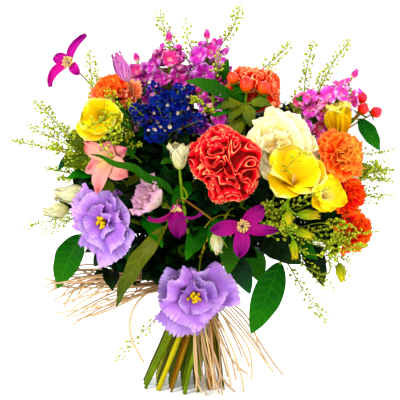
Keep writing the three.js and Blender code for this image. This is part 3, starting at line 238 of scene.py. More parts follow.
# Name, variation of shade and hue, brightness, veins' colour, stops (place, red, green, blue), the rest
PAINTS = [
    ("stem_green", 0.6, 0.015, 0.95, (40, 52, 2),
     [(0, 74, 84, 4), (0.3, 104, 108, 8), (1, 96, 130, 24)], STEM),
    ("stem_fresh", 0.4, 0.015, 0.95, (56, 76, 2),
     [(0, 84, 106, 4), (0.3, 120, 138, 8), (1, 110, 150, 30)], STEM),
    ("stem_yellow", 0.25, 0.015, 0.95, (120, 120, 8),
     [(0, 170, 160, 20), (0.3, 196, 184, 24), (1, 150, 166, 40)], STEM),
    ("stem_brown", 0.4, 0.015, 0.95, (90, 56, 4),
     [(0, 150, 100, 8), (0.3, 186, 130, 18), (1, 112, 110, 30)], STEM),
    ("stem_red", 0.4, 0.015, 0.95, (74, 52, 6),
     [(0, 126, 96, 8), (0.3, 156, 116, 16), (1, 120, 66, 40)], STEM),
    ("leaf_dark", 0.5, 0.012, 0.7, (50, 124, 8), [(0, 14, 66, 0), (0.5, 26, 88, 0), (1, 42, 106, 2)],
     dict(rough=0.45, grain=0.3, scale=70, pinnate=True, vein=0.5, gloss=0.03)),
    ("leaf_fresh", 0.5, 0.03, 0.7, (136, 146, 30), [(0, 102, 116, 6), (0.5, 78, 98, 2), (1, 52, 82, 0)],
     dict(rough=0.45, pinnate=True, vein=0.35, veins=7)),
    # Leaves inside the bunch and in its middle: near-black greens, painted shade
    ("leaf_deep", 1.0, 0.03, 0.7, (30, 84, 6), [(0, 0, 16, 0), (0.6, 3, 36, 0), (1, 20, 66, 0)],
     dict(rough=0.5, pinnate=True, vein=0.25, veins=6)),
    ("wand_green", 0.3, 0.02, 0.7, (90, 116, 20), [(0, 98, 124, 26), (0.5, 122, 150, 30), (1, 150, 176, 50)],
     dict(vein=0.2, veins=3)),
    ("pod_green", 0.5, 0.03, 0.75, None, [(0, 128, 150, 8), (0.5, 164, 184, 16), (1, 206, 212, 60)],
     dict(rough=0.6, soft=0.1)),
    ("lisianthus_violet", 0.12, 0.012, 0.72, (130, 70, 176),
     [(0, 86, 14, 90), (0.16, 112, 38, 136), (0.36, 150, 86, 192), (0.75, 174, 118, 216), (1, 208, 168, 234)],
     dict(grain=0.3, scale=70, rough=0.7, soft=0.35, vein=0.16, veins=11, bump=0.2)),
    ("lisianthus_pale", 0.12, 0.02, 0.9, (196, 140, 176),
     [(0, 226, 214, 150), (0.45, 236, 212, 200), (0.8, 226, 184, 194), (1, 204, 146, 180)],
     dict(grain=0.2, scale=110, rough=0.65, soft=0.3, vein=0.2, veins=7)),
    ("bud_cream", 0.1, 0.02, 0.6, (206, 200, 120),
     [(0, 170, 190, 70), (0.25, 228, 222, 144), (0.8, 242, 236, 190), (1, 226, 216, 144)],
     dict(grain=0.1, soft=0.25, vein=0.25, veins=4)),
    ("bud_green", 0.3, 0.03, 0.7, (110, 140, 6), [(0, 96, 132, 6), (0.5, 166, 174, 6), (1, 226, 200, 6)],
     dict(grain=0.1, rough=0.45, soft=0.2, vein=0.25, veins=4)),
    ("celosia_red", 0.0, 0.0, 0.95, None,
     [(0, 104, 0, 0), (0.1, 180, 0, 8), (0.36, 230, 4, 34), (0.66, 238, 30, 44), (0.92, 250, 144, 90)],
     CRESTED),
    ("celosia_coral", 0.0, 0.0, 0.95, None,
     [(0, 176, 16, 0), (0.3, 222, 52, 14), (0.65, 236, 88, 44), (0.94, 248, 172, 124)], CRESTED),
    ("carnation_cream", 0.05, 0.006, 0.86, (250, 222, 110),
     [(0, 255, 176, 0), (0.3, 255, 204, 40), (0.62, 254, 228, 126), (1, 252, 238, 192)],
     dict(grain=0.2, scale=60, rough=0.8, soft=0.5, vein=0.06, veins=6, bump=0.12)),
    ("carnation_orange", 0.16, 0.012, 1.0, (230, 50, 0),
     [(0, 240, 30, 0), (0.4, 252, 60, 0), (0.8, 255, 84, 4), (1, 255, 136, 50)], FRINGED),
    ("carnation_peach", 0.2, 0.01, 1.0, (246, 90, 10),
     [(0, 240, 50, 0), (0.5, 255, 96, 8), (1, 255, 160, 56)],
     FRINGED),
    ("carnation_red_orange", 0.16, 0.01, 1.0, (206, 10, 0),
     [(0, 240, 10, 0), (0.45, 255, 26, 0), (0.85, 255, 44, 0), (1, 255, 84, 14)], FRINGED),
    ("carnation_ember", 0.18, 0.01, 1.0, (224, 30, 0),
     [(0, 240, 16, 0), (0.45, 255, 40, 0), (0.85, 255, 58, 0), (1, 255, 100, 26)], FRINGED),
    ("carnation_coral", 0.26, 0.02, 0.9, (226, 54, 20),
     [(0, 222, 40, 0), (0.45, 244, 84, 24), (0.85, 248, 116, 60), (1, 252, 170, 120)], FRINGED),
    ("freesia_yellow", 0.12, 0.01, 0.74, (242, 178, 0),
     [(0, 236, 166, 0), (0.2, 246, 188, 0), (0.6, 252, 204, 0), (0.85, 252, 214, 10), (1, 252, 234, 120)],
     dict(grain=0.2, scale=110, soft=0.35, vein=0.15, veins=6)),
    ("freesia_pale", 0.12, 0.01, 1.0, (250, 204, 40),
     [(0, 255, 250, 210), (0.3, 255, 238, 150), (0.6, 254, 216, 26), (1, 250, 200, 0)],
     dict(grain=0.14, scale=140, soft=0.35, vein=0.15, veins=6)),
    ("alstroemeria_salmon", 0.14, 0.012, 0.76, (216, 92, 100),
     [(0, 246, 220, 110), (0.2, 244, 196, 136), (0.5, 236, 162, 142), (0.85, 234, 142, 138),
      (1, 220, 100, 112)],
     dict(grain=0.3, scale=90, soft=0.35, vein=0.3, veins=6)),
    ("clematis_magenta", 0.3, 0.02, 0.7, (98, 0, 76),
     [(0, 204, 50, 140), (0.3, 172, 8, 116), (0.7, 146, 2, 108), (1, 118, 0, 98)],
     dict(grain=0.16, soft=0.2, vein=0.45, veins=4)),
    ("clematis_bright", 0.3, 0.02, 0.7, (140, 0, 110),
     [(0, 236, 90, 180), (0.3, 216, 14, 156), (0.7, 196, 4, 146), (1, 160, 0, 130)],
     dict(grain=0.16, soft=0.3, vein=0.4, veins=4)),
    ("clematis_mauve", 0.15, 0.02, 0.7, (232, 180, 206),
     [(0, 206, 120, 150), (0.4, 190, 76, 166), (1, 170, 40, 150)],
     dict(grain=0.16, soft=0.3, vein=0.55, veins=5)),
    ("stock_magenta", 0.26, 0.05, 0.9, (150, 0, 116),
     [(0, 255, 236, 196), (0.16, 232, 140, 188), (0.38, 192, 30, 142), (0.78, 190, 50, 160),
      (1, 226, 146, 204)],
     dict(grain=0.26, scale=90, rough=0.6, soft=0.3, vein=0.25, veins=5)),
    ("stock_pink", 0.2, 0.05, 0.95, (206, 30, 120),
     [(0, 255, 240, 206), (0.2, 246, 160, 196), (0.42, 218, 52, 142), (0.78, 216, 70, 168),
      (1, 244, 160, 214)],
     dict(grain=0.26, scale=90, rough=0.6, soft=0.35, vein=0.25, veins=5)),
    ("statice_blue", 0.6, 0.012, 1.0, None, [(0, 0, 8, 38), (0.45, 2, 22, 104), (1, 16, 58, 176)],
     dict(grain=0.1, rough=0.65, soft=0.1)),
    ("statice_eye", 0.3, 0.02, 0.7, None, [(0, 110, 80, 50), (0.4, 222, 192, 156), (1, 176, 160, 186)],
     dict(grain=0.2, rough=0.6, soft=0.1)),
    ("berry_red", 0.16, 0.012, 0.8, None,
     [(0, 255, 130, 10), (0.25, 255, 70, 0), (0.7, 250, 26, 0), (1, 190, 10, 0)],
     dict(grain=0.1, scale=60, rough=0.3, coat=0.12, gloss=0.2, bump=0.05, soft=0.1)),
    ("stamen_yellow", 0.15, 0.02, 0.7, None,
     [(0, 190, 140, 10), (0.5, 236, 190, 30), (1, 250, 200, 0)], GRAINY),
    ("stamen_cream", 0.15, 0.02, 0.7, None,
     [(0, 226, 130, 140), (0.3, 244, 226, 170), (1, 240, 206, 96)], GRAINY),
    ("raffia", 0.3, 0.012, 0.54, (196, 140, 76),
     [(0, 224, 170, 100), (0.5, 242, 196, 136), (1, 248, 210, 158)],
     dict(grain=0.25, scale=160, rough=0.75, vein=0.25, veins=2, soft=0.05)),
]
LOOKS = {name: surface(name, *row, **rest) for name, *row, rest in PAINTS}


def make(name, shape, look, slot=None, replaces=()):
    """One piece of the bouquet from a shape in millimetres. Its slot is not used."""
    slot = slot or look
    points, quads, form = shape.arrays()
    mesh = bpy.data.meshes.new(name)
    mesh.vertices.add(len(points))
    mesh.vertices.foreach_set("co", (points * MM).ravel())
    mesh.loops.add(quads.size)
    mesh.loops.foreach_set("vertex_index", quads.ravel())
    mesh.polygons.add(len(quads))
    mesh.polygons.foreach_set("loop_start", np.arange(0, quads.size, 4))
    mesh.polygons.foreach_set("use_smooth", np.ones(len(quads), bool))
    mesh.update(calc_edges=True)
    attribute = mesh.attributes.new("form", "FLOAT_COLOR", "POINT")
    attribute.data.foreach_set("color", form.ravel())
    mesh.materials.append(LOOKS[look])
    piece = bpy.data.objects.new(name, mesh)
    bpy.context.scene.collection.objects.link(piece)
    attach(piece, "root")
    if replaces:
        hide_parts(*replaces)


# Building blocks


def tube(shape, points, radii, sides=8, squash=1.0, shared=None, spin=0.0):
    """A closed tube through points, with a radius at each. Under squash 1 it is a flat strip."""
    points = np.asarray(points, float)
    radii = np.broadcast_to(np.asarray(radii, float), len(points))
    tangents = np.gradient(points, axis=0)
    tangents /= np.maximum(np.linalg.norm(tangents, axis=1), 1e-9)[:, None]
    normal = unit(np.cross(tangents[0], v(0.31, 0.52, 0.79)))
    angles = spin + TAU * np.arange(sides) / sides
    rings = []
    for p, d, r in zip(points, tangents, radii):
        normal = unit(normal - d * np.dot(normal, d))
        side = np.cross(d, normal)
        rings.append(p + r * (np.outer(np.cos(angles), normal) + squash * np.outer(np.sin(angles), side)))
    ends = [points[i] + (rings[i] - points[i]) * 0.05 for i in (0, -1)]
    rings = np.array([ends[0], *rings, ends[1]])
    along = np.concatenate([[0], np.linspace(0, 1, len(points)), [1]])[:, None]
    across = (np.arange(sides) / sides)[None, :]
    shape.grid(rings, form_of(along, across, rng.random() if shared is None else shared), wrap=True)


def bezier(start, leave, end, arrive, steps, handle):
    """Points of a smooth way from a start to an end, leaving and arriving in the given directions."""
    start, end = np.asarray(start, float), np.asarray(end, float)
    reach = np.linalg.norm(end - start) * handle
    a, b = start + unit(leave) * reach, end - unit(arrive) * reach
    t = np.linspace(0, 1, steps)[:, None]
    return (1 - t) ** 3 * start + 3 * (1 - t) ** 2 * t * a + 3 * (1 - t) * t**2 * b + t**3 * end


def rib_of(length, lift, curl):
    """A petal's middle line: the share of its length, its lean from the axis, and its way out and up."""
    fine = np.linspace(0, 1.2, 49)
    lean = np.radians(lift[0] + (lift[1] - lift[0]) * fine + curl * fine**4)

    def walked(slope):
        return length * fine[1] * np.concatenate([[0], np.cumsum((slope[1:] + slope[:-1]) / 2)])

    return fine, lean, walked(np.sin(lean)), walked(np.cos(lean))


def petal(
    shape, at, turn, around, length, lift, half, *, height=0.0, rows=12, cols=13, claw=0.15, widest=1.0,
    tip=(2.0, 0.5), rim=0.1, notch=0.0, cup=0.0, lap=0.0, wave=0.0, waves=2.0, frill=0.0, frills=9.0,
    teeth=0.0, roll=0.0, curl=0.0, bend=0.0, twist=0.0,
):
    """One petal, half wide on each side. Its rib's lean from the axis goes from lift[0] to lift[1]."""
    s = np.linspace(0, 1, rows)[:, None]
    u = np.linspace(-1, 1, cols)[None, :]
    a, b, c, d = rng.random(4) * TAU
    ripple = np.sin(frills * pi * u + a) + 0.6 * np.sin(1.7 * frills * pi * u + b)
    t = s * (1 - rim * np.abs(u) ** 2.2 - notch * np.exp(-((u / 0.3) ** 2)) + teeth * ripple * s**3)
    fine, leans, outs, ups = rib_of(length, lift, curl)
    lean, r, z = (np.interp(t, fine, line) for line in (leans, outs, ups))
    rise = claw + (1 - claw) * np.sin(np.minimum(s / widest, 1) * pi / 2) ** 1.2
    past = np.clip((s - widest) / max(1 - widest, 1e-6), 0, 1)
    width = half * rise * np.maximum(1 - past ** tip[0], 0) ** tip[1]
    bow = cup * u * u * width - lap * u * s + wave * s**2 * np.sin(waves * pi * u + c)
    bow = bow + frill * s**6 * ripple + roll * s * np.sin(2.2 * pi * s + d)
    swing = twist * s**1.5
    side = u * width * np.cos(swing) + bend * length * s * s
    bow = bow + u * width * np.sin(swing)
    points = np.stack([r - np.cos(lean) * bow, side, height + z + np.sin(lean) * bow], -1)
    points = points @ (turn @ around_z(around)).T + at
    shape.grid(points, form_of(s * np.ones_like(u), (u + 1) / 2, rng.random()))


def leaf(shape, base, tip, width, face, sag, rows=16, cols=9, ripple=0.02):
    """A blade from its base to its tip, whose upper side faces the given way, arched by sag."""
    fold = 0.14
    axis = tip - base
    length = np.linalg.norm(axis)
    side = unit(np.cross(axis, face))
    up = unit(np.cross(side, axis))
    t = np.linspace(0, 1, rows)[:, None]
    u = np.linspace(-1, 1, cols)[None, :]
    outline = np.sin(pi * t**0.8) ** 0.85 * 0.98 + 0.02
    phase = rng.random() * TAU
    lifted = np.sin(pi * t) * sag * length + np.abs(u) ** 1.5 * outline * width * fold
    lifted = lifted + ripple * length * np.abs(u) * np.sin(3 * TAU * t + phase)
    across = u * outline * width * 0.5
    points = base + axis * t[..., None] + side * across[..., None] + up * lifted[..., None]
    shape.grid(points, form_of(t * np.ones_like(u), (u + 1) / 2, rng.random()))


def turned(shape, at, turn, profile, sides=12, ribs=0, rib=0.0, twist=0.0):
    """A lathe shape of radius and height pairs, whose ribs may wind round it."""
    angles = TAU * np.arange(sides) / sides
    share = np.linspace(0, 1, len(profile))[:, None]
    wind = angles[None, :] + twist * share
    radius = profile[:, :1] * (1 + rib * np.cos(ribs * angles)[None, :])
    z = np.broadcast_to(profile[:, 1:], radius.shape)
    points = np.stack([radius * np.cos(wind), radius * np.sin(wind), z], -1) @ turn.T + at
    along = share * np.ones((1, sides))
    shape.grid(points, form_of(along, (angles / TAU)[None, :], rng.random()), wrap=True)


def rounded(length, radius, rows=9, widest=0.6):
    """The profile of a bead that is widest at a share of its length."""
    t = np.linspace(0, 1, rows)
    bulge = np.sin(pi * t ** (log(0.5) / log(widest))) ** 0.7
    return np.stack([radius * (bulge * 0.98 + 0.02), length * t], -1)


# The stems, found inside the solids that they dress


def solid_name(name):
    return name if name.startswith("thlaspi") else name + "_stem"


def solid_of(name):
    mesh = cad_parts[name].data
    points = np.empty(len(mesh.vertices) * 3)
    mesh.vertices.foreach_get("co", points)
    points = points.reshape(-1, 3) / MM
    faces = [tuple(polygon.vertices) for polygon in mesh.polygons]
    return points, BVHTree.FromPolygons(points.tolist(), faces)


def trace(tree, start, way, goal, step, arrived):
    """The middle line of a solid from a start to a goal: its centres and its half width at each."""
    most, rays_round, ray_length = 520, 10, 12.0
    centres, widths = [np.asarray(start, float)], []
    heading = unit(way)
    for _ in range(int(most / step)):
        here = centres[-1]
        if arrived(here):
            break
        guess = here + heading * step
        a = unit(np.cross(heading, v(0.3, 0.9, 0.1)))
        b = np.cross(heading, a)
        angles = [k * TAU / rays_round for k in range(rays_round)]
        rays = [cos(angle) * a + sin(angle) * b for angle in angles]
        gaps = []
        for ray in rays:
            _, normal, _, gap = tree.ray_cast(Vector(guess), Vector(ray), ray_length)
            gaps.append(gap if normal is not None and normal.dot(Vector(ray)) > 0 else np.nan)
        gaps = np.array(gaps)
        if np.isnan(gaps).sum() > 3:
            heading = unit(0.85 * heading + 0.15 * unit(goal - here))
            centres.append(guess)
            widths.append(widths[-1] if widths else 1.0)
            continue
        middle = np.nanmedian(gaps)
        gaps = np.clip(np.nan_to_num(gaps, nan=middle), 0, 1.3 * middle)
        centre = guess + 0.2 * (np.array(rays) * gaps[:, None]).sum(0)
        heading = unit(0.65 * heading + 0.35 * unit(centre - here))
        centres.append(centre)
        widths.append(middle)
    widths.append(widths[-1] if widths else 1.0)
    return np.array(centres), np.array(widths[: len(centres)])


def smoothed(values, times=6):
    values = np.array(values, float)
    for _ in range(times):
        values[1:-1] = 0.25 * values[:-2] + 0.5 * values[1:-1] + 0.25 * values[2:]
    return values


def thinned(points, widths, spacing):
    """Every point that is at least spacing on from the last, and the end."""
    kept = [0]
    for i in range(1, len(points) - 1):
        if np.linalg.norm(points[i] - points[kept[-1]]) >= spacing:
            kept.append(i)
    kept.append(len(points) - 1)
    return points[kept], widths[kept]


class Stem:
    """A stem's middle line from its cut end to its head, and the side branches on it."""

    def __init__(self, name, head, facing):
        self.head, self.facing = v(*head), unit(facing)
        self.vertices, self.tree = solid_of(solid_name(name))
        foot = self.vertices[self.vertices[:, 2] < 0.05].mean(0) * v(1, 1, 0)

        def at_head(p):
            away = np.linalg.norm(self.head - p)
            past = np.dot(self.head - p, self.facing) < 0
            return p[2] > FLARE_TOP * 0.6 and (away < 4 or past and away < 12)

        line, widths = trace(self.tree, foot + v(0, 0, 0.6), v(0, 0, 1), self.head, 2.0, at_head)
        line[0] = foot
        line = np.vstack([line, self.head])
        widths = np.append(widths, widths[-1])
        widths[0] = widths[1]
        self.line, self.widths = smoothed(line), smoothed(widths, 10)
        self.shared = rng.random()

    def spot(self, share):
        """The point and direction at a share of the way from the tie to the head."""
        line = self.line[np.argmax(self.line[:, 2] > FLARE_TOP):]
        steps = np.linalg.norm(np.diff(line, axis=0), axis=1)
        far = np.concatenate([[0], np.cumsum(steps)])
        i = min(int(np.searchsorted(far, share * far[-1])), len(line) - 2)
        return line[i], unit(line[i + 1] - line[max(i - 1, 0)])

    def branch(self, end, arrive, share):
        """The middle line of a side branch, from the stem out to its end."""
        end, arrive = np.asarray(end, float), unit(arrive)
        root, leave = self.spot(share)

        def at_stem(p):
            return np.linalg.norm(self.line - p, axis=1).min() < 2.0

        line, _ = trace(self.tree, end - arrive * 0.8, -arrive, root, 0.9, at_stem)
        away = np.linalg.norm(self.line - line[-1], axis=1)
        if away.min() < 3.5 and len(line) > 4:
            line = np.vstack([self.line[away.argmin()], line[::-1], end])
            return smoothed(thinned(line, np.zeros(len(line)), 3.0)[0], 4)
        return bezier(root, leave + unit(end - root), end, arrive, 14, 0.33)


# The arrangement, with the same places as the frame: each stem, its head and the way it opens
STEMS = {
    "lisianthus_left": ([-76, -84, 196], [-0.45, -0.87, 0.05]),
    "lisianthus_low": ([13, -60, 116], [0, -0.98, -0.18]),
    "lisianthus_bud": ([-2, -130, 256], [-0.05, -0.3, 0.95]),
    "celosia_red": ([41, -104, 256], [0.1, -0.98, 0.14]),
    "carnation_cream": ([93, -99, 270], [0.32, -0.9, 0.26]),
    "freesia_right": ([111, -137, 235], [0.05, -0.66, 0.75]),
    "freesia_upper": ([166, -58, 276], [-0.08, -0.25, 0.96]),
    "spray_carnation_right": ([157, -90, 262], [0.5, -0.8, 0.3]),
    "spray_carnation_left": ([-67, -50, 313], [-0.3, -0.55, 0.78]),
    "freesia_left": ([-80, -86, 299], [-0.15, -0.93, 0.33]),
    "celosia_coral": ([72, -44, 308], [0.1, -0.4, 0.91]),
    "hypericum_top": ([66, -92, 330], [0, -0.1, 0.99]),
    "hypericum_right": ([190, -30, 303], [0.6, -0.1, 0.8]),
    "statice": ([-13, -76, 288], [0, -0.42, 0.9]),
    "stock_top_left": ([-13, -42, 376], [0.15, 0, 1]),
    "stock_top_right": ([26, -44, 380], [0, 0, 1]),
    "stock_centre": ([32, -100, 330], [0, -0.3, 0.95]),
    "stock_right": ([179, -45, 332], [0.75, 0, 0.66]),
    "clematis_left": ([-121, -8, 355], [-0.3, -0.85, 0.4]),
    "clematis_front": ([61, -134, 198], [0.1, -0.97, 0.15]),
    "alstroemeria_left": ([-69, -100, 266], [-0.45, -0.88, -0.1]),
    "lisianthus_back": ([-62, 84, 192], [-0.45, 0.89, 0.05]),
    "celosia_back": ([-4, 100, 258], [-0.05, 0.98, 0.18]),
    "carnation_cream_back": ([86, 92, 268], [0.45, 0.8, 0.4]),
    "spray_carnation_back": ([-84, 66, 278], [-0.6, 0.65, 0.45]),
    "freesia_back": ([50, 112, 205], [0.2, 0.96, 0.05]),
    "statice_back": ([34, 62, 304], [0.1, 0.6, 0.78]),
    "stock_back": ([-50, 42, 352], [-0.2, 0.2, 0.96]),
    "alstroemeria_back": ([108, 78, 196], [0.65, 0.73, -0.15]),
    "thlaspi_left": ([-104, -40, 262], [-0.8, -0.2, 0.5]),
    "thlaspi_right": ([134, -14, 300], [0.5, 0, 0.8]),
    "thlaspi_low": ([96, -76, 180], [0.85, -0.45, -0.1]),
    "thlaspi_top": ([24, 0, 350], [0.05, 0, 1]),
    "foliage_left": ([-84, -30, 182], [-0.95, -0.1, 0.1]),
    "foliage_right": ([112, -26, 176], [0.9, -0.2, 0.1]),
    "foliage_back": ([14, 80, 168], [0, 0.95, 0.1]),
}
# Blooms on side branches, and the spray carnations that are named after their blooms
HEADS = {
    **STEMS,
    "lisianthus_pale": ([-19, -125, 219], [-0.8, -0.35, 0.45]),
    "carnation_right_upper": STEMS["spray_carnation_right"],
    "carnation_right_middle": ([166, -82, 223], [0.75, -0.65, 0.05]),
    "carnation_right_low": ([170, -64, 184], [0.75, -0.65, -0.12]),
    "carnation_left": STEMS["spray_carnation_left"],
    "carnation_back_left": STEMS["spray_carnation_back"],
    "carnation_back_right": ([138, 52, 228], [0.85, 0.5, 0.1]),
    "freesia_side": ([142, -104, 222], [0.35, -0.85, 0.35]),
    "clematis_bell": ([-5, -138, 221], [0, -0.5, -0.86]),
}
# The looks and slots of the stems whose names begin so; the rest are plain green. The first match counts.
STEM_LOOKS = {
    "lisianthus_bud": "stem_fresh", "lisianthus_low": "stem_yellow", "clematis": "stem_red",
    "celosia_red": "stem_brown", "freesia_right": "stem_fresh", "carnation_cream_back": "stem_green",
    "carnation_cream": "stem_fresh", "hypericum_right": "stem_brown", "statice_back": "stem_brown",
    "celosia_coral": "stem_red", "stock": "stem_fresh", "thlaspi": "wand_green",
    "foliage_right": "stem_yellow", "alstroemeria": "stem_fresh", "spray_carnation_right": "stem_brown",
    "spray_carnation_left": "stem_yellow",
}
STEM_SLOTS = {
    "thlaspi": "pod_green", "foliage": "leaf_green", "hypericum": "berry_red", "statice": "statice_blue",
    "stock": "stock_magenta", "clematis": "clematis_magenta", "lisianthus_bud": "lisianthus_bud",
}
# The radius and length of each kind's calyx
CALYX = {
    "celosia": (5.0, 7), "carnation": (6.5, 18), "spray": (5.0, 14), "freesia": (2.4, 7),
    "lisianthus": (4.2, 9), "alstroemeria": (2.8, 8), "statice": (3.2, 5),
}
STEM_FULLNESS = 1.12
STEM_MOST = 3.9
stems = {name: Stem(name, head, facing) for name, (head, facing) in STEMS.items()}

# What grows on a stem is gathered here, and each stem becomes a piece at the end.
wood = {name: Shape() for name in stems}
# The third gathers leaves and stalks whose near-black colour is painted shade.
dark, fresh, deep = Shape(), Shape(), Shape()


def calyx(shape, at, facing, radius, length):
    """A green cup under a bloom with pointed teeth round its rim."""
    teeth = 5
    turn = turn_to(facing)
    t = np.linspace(0, 1, 6)
    profile = np.stack([1.2 + (radius - 1.2) * np.sin(t * 1.5) ** 0.8, length * (t - 1)], -1)
    turned(shape, at, turn, profile, 12, ribs=teeth, rib=0.06)
    for k in range(teeth):
        petal(shape, at, turn, k * TAU / teeth, length * 0.7, (15, 40), radius * 0.5, rows=5, cols=5,
              height=-length * 0.3, claw=0.6, widest=0.3, tip=(1.2, 1.0), cup=0.3)


for name, stem in stems.items():
    line, widths = thinned(stem.line, stem.widths, 5.0)
    kind = name.split("_")[0]
    widths = np.minimum(widths * STEM_FULLNESS, STEM_MOST)
    wobble = 1 + 0.05 * np.sin(np.arange(len(line)) * 0.9 + rng.random() * TAU)
    tube(wood[name], line, widths * wobble, shared=stem.shared)
    if kind in CALYX and name != "lisianthus_bud":
        calyx(wood[name], stem.head, stem.facing, *CALYX[kind])


def grow(name, line, first, last, sides=5):
    """A stalk of a stem along a line, from its first radius to its last."""
    tube(wood[name], line, np.linspace(first, last, len(line)), sides, shared=stems[name].shared)
    return line


def twig(name, end, arrive, share, first=1.2, last=0.9, sides=5):
    """A side branch, dressed, and its middle line."""
    return grow(name, stems[name].branch(end, arrive, share), first, last, sides)


# Blooms


def seated(name, spin=0.0):
    """A bloom's place, a little up from its stem's end, and its turn."""
    at, facing = HEADS[name]
    return v(*at) + unit(facing) * 0.3, turn_to(facing, spin)


def bloom_piece(name, petals, look, slot=None, centre=None, centre_look="stamen_cream"):
    make(name + "_petals", petals, look, slot, [name + "_bloom"])
    if centre:
        make(name + "_stamens", centre, centre_look, slot or look)


# Whorls of a ruffled bloom from the outside in: petals, length, lean, half width, height, turn and wave
OPEN_RUFFLES = [
    (5, 1.24, (46, 90), 0.78, 2.5, 0.0, 0.16), (4, 1.04, (36, 76), 0.7, 4.5, 0.5, 0.16),
    (4, 0.76, (24, 60), 0.4, 6.0, 0.2, 0.12),
]
FULL_RUFFLES = [
    (5, 1.14, (56, 99), 0.74, 2.5, 0.0, 0.1), (5, 1.05, (45, 84), 0.68, 4.0, 0.6, 0.1),
    (5, 0.97, (35, 69), 0.6, 5.5, 0.2, 0.1), (4, 0.9, (25, 54), 0.56, 7.0, 0.9, 0.09),
    (4, 0.83, (15, 38), 0.48, 8.5, 0.3, 0.08), (4, 0.77, (3, 20), 0.42, 10.0, 0.7, 0.06),
]


def ruffled(name, R, spin, rings, droop, stretch, rows=24, cols=47, frill=1.5, frills=10, teeth=0.018):
    """Broad ruffled petals, ring in ring. The stretch is a share, its direction and how many ways it has."""
    petals = Shape()
    at, turn = seated(name, spin)
    for ring, (count, length, lift, half, height, offset, wave) in enumerate(rings):
        for k in range(count):
            a = offset + TAU * k / count + rng.normal(0, 0.14)
            tilt = rng.normal(0, 9 - ring) - droop * sin(a + spin)
            reach = R * length * rng.uniform(0.94, 1.06)
            if ring < len(rings) - 1:
                reach *= 1 + stretch[0] * cos(stretch[2] * (a + spin - radians(stretch[1])))
            petal(petals, at, turn, a, reach, (lift[0], lift[1] + tilt), R * half * rng.uniform(0.92, 1.1),
                  height=height, rows=rows, cols=cols, claw=0.14, rim=0.14, cup=rng.uniform(-0.1, 0.1),
                  lap=3.0, wave=R * wave * rng.uniform(0.7, 1.15), waves=rng.uniform(1.2, 2.2),
                  roll=R * 0.05, frill=frill, frills=frills * rng.uniform(0.8, 1.2), teeth=teeth,
                  bend=rng.normal(0, 0.08), twist=rng.normal(0, 0.1))
    return petals, at, turn


def lisianthus(name, R, spin, droop=0, stretch=(0, 0, 2)):
    petals, at, turn = ruffled(name, R, spin, OPEN_RUFFLES, droop, stretch)
    centre = Shape()
    stamens = 12
    for k in range(stamens):
        a = k * GOLDEN
        top = at + turn @ round_z(a, R * 0.05 * sqrt(k + 0.5), R * rng.uniform(0.42, 0.56))
        root = at + turn @ round_z(a, 1.5, 5)
        tube(centre, bezier(root, turn[:, 2], top, turn[:, 2], 5, 0.3), 0.5, 5)
        turned(centre, top, turn_to(turn[:, 2] + rng.normal(0, 0.5, 3)), rounded(4.6, 1.9, 6), 7)
    bloom_piece(name, petals, "lisianthus_violet", None, centre, "stamen_yellow")


# Rings of the half-open bloom: petals, length, lean, turn and height
PALE_RINGS = [
    (5, 1.8, (54, 20), 0, 2), (5, 1.68, (42, 16), 0.6, 3), (5, 1.5, (28, 8), 0.2, 4),
    (3, 1.35, (12, 0), 0, 5),
]


def pale_lisianthus(name, R):
    petals = Shape()
    at, turn = seated(name)
    for count, length, lift, offset, height in PALE_RINGS:
        for k in range(count):
            petal(petals, at, turn, offset + TAU * k / count, R * length * rng.uniform(0.9, 1.06), lift,
                  R * 0.82, height=height, rows=22, cols=33, rim=0.08, lap=2.0, wave=2.4, waves=2.2,
                  frill=1.1, frills=5, teeth=0.02, roll=1.0, curl=24)
    bloom_piece(name, petals, "lisianthus_pale")


def cream_bloom(name, R, spin, stretch, cols):
    petals = ruffled(name, R, spin, FULL_RUFFLES, 0, stretch, 20, cols, 1.0, 5, 0.008)[0]
    bloom_piece(name, petals, "carnation_cream")


# Layers of a double bloom from the outside in: petals, length and lean
FRINGES = [
    (8, 1.08, (62, 98)), (8, 1.04, (46, 78)), (7, 0.99, (34, 60)), (6, 0.95, (22, 42)), (5, 0.9, (12, 26)),
    (4, 0.84, (4, 12)),
]
HEART_LAYERS = 3


def carnation(name, R, look, heart=None, slot=None):
    """A double bloom of fringed petals, layer on layer. Its heart has a look of its own."""
    petals, middle = Shape(), Shape()
    at, turn = seated(name)
    for layer, (count, length, lift) in enumerate(FRINGES):
        target = middle if heart and layer >= len(FRINGES) - HEART_LAYERS else petals
        for k in range(count):
            a = layer * 0.83 + TAU * k / count + rng.normal(0, 0.12)
            petal(target, at, turn, a, R * length * rng.uniform(0.88, 1.08),
                  (lift[0], lift[1] + rng.normal(0, 8)), R * 0.46 * rng.uniform(0.85, 1.15),
                  height=2.0 + layer * R * 0.06, rows=13, cols=23, rim=0.14,
                  cup=0.08 * rng.uniform(0.5, 1.3), lap=R * 0.07, wave=R * 0.1 * rng.uniform(0.6, 1.3),
                  waves=rng.uniform(1.5, 3.4), frill=R * 0.04, frills=8.5 * rng.uniform(0.85, 1.15),
                  teeth=0.04, roll=R * 0.04, twist=rng.normal(0, 0.15))
    bloom_piece(name, petals, look, slot)
    if heart:
        make(name + "_heart", middle, heart, slot or look)


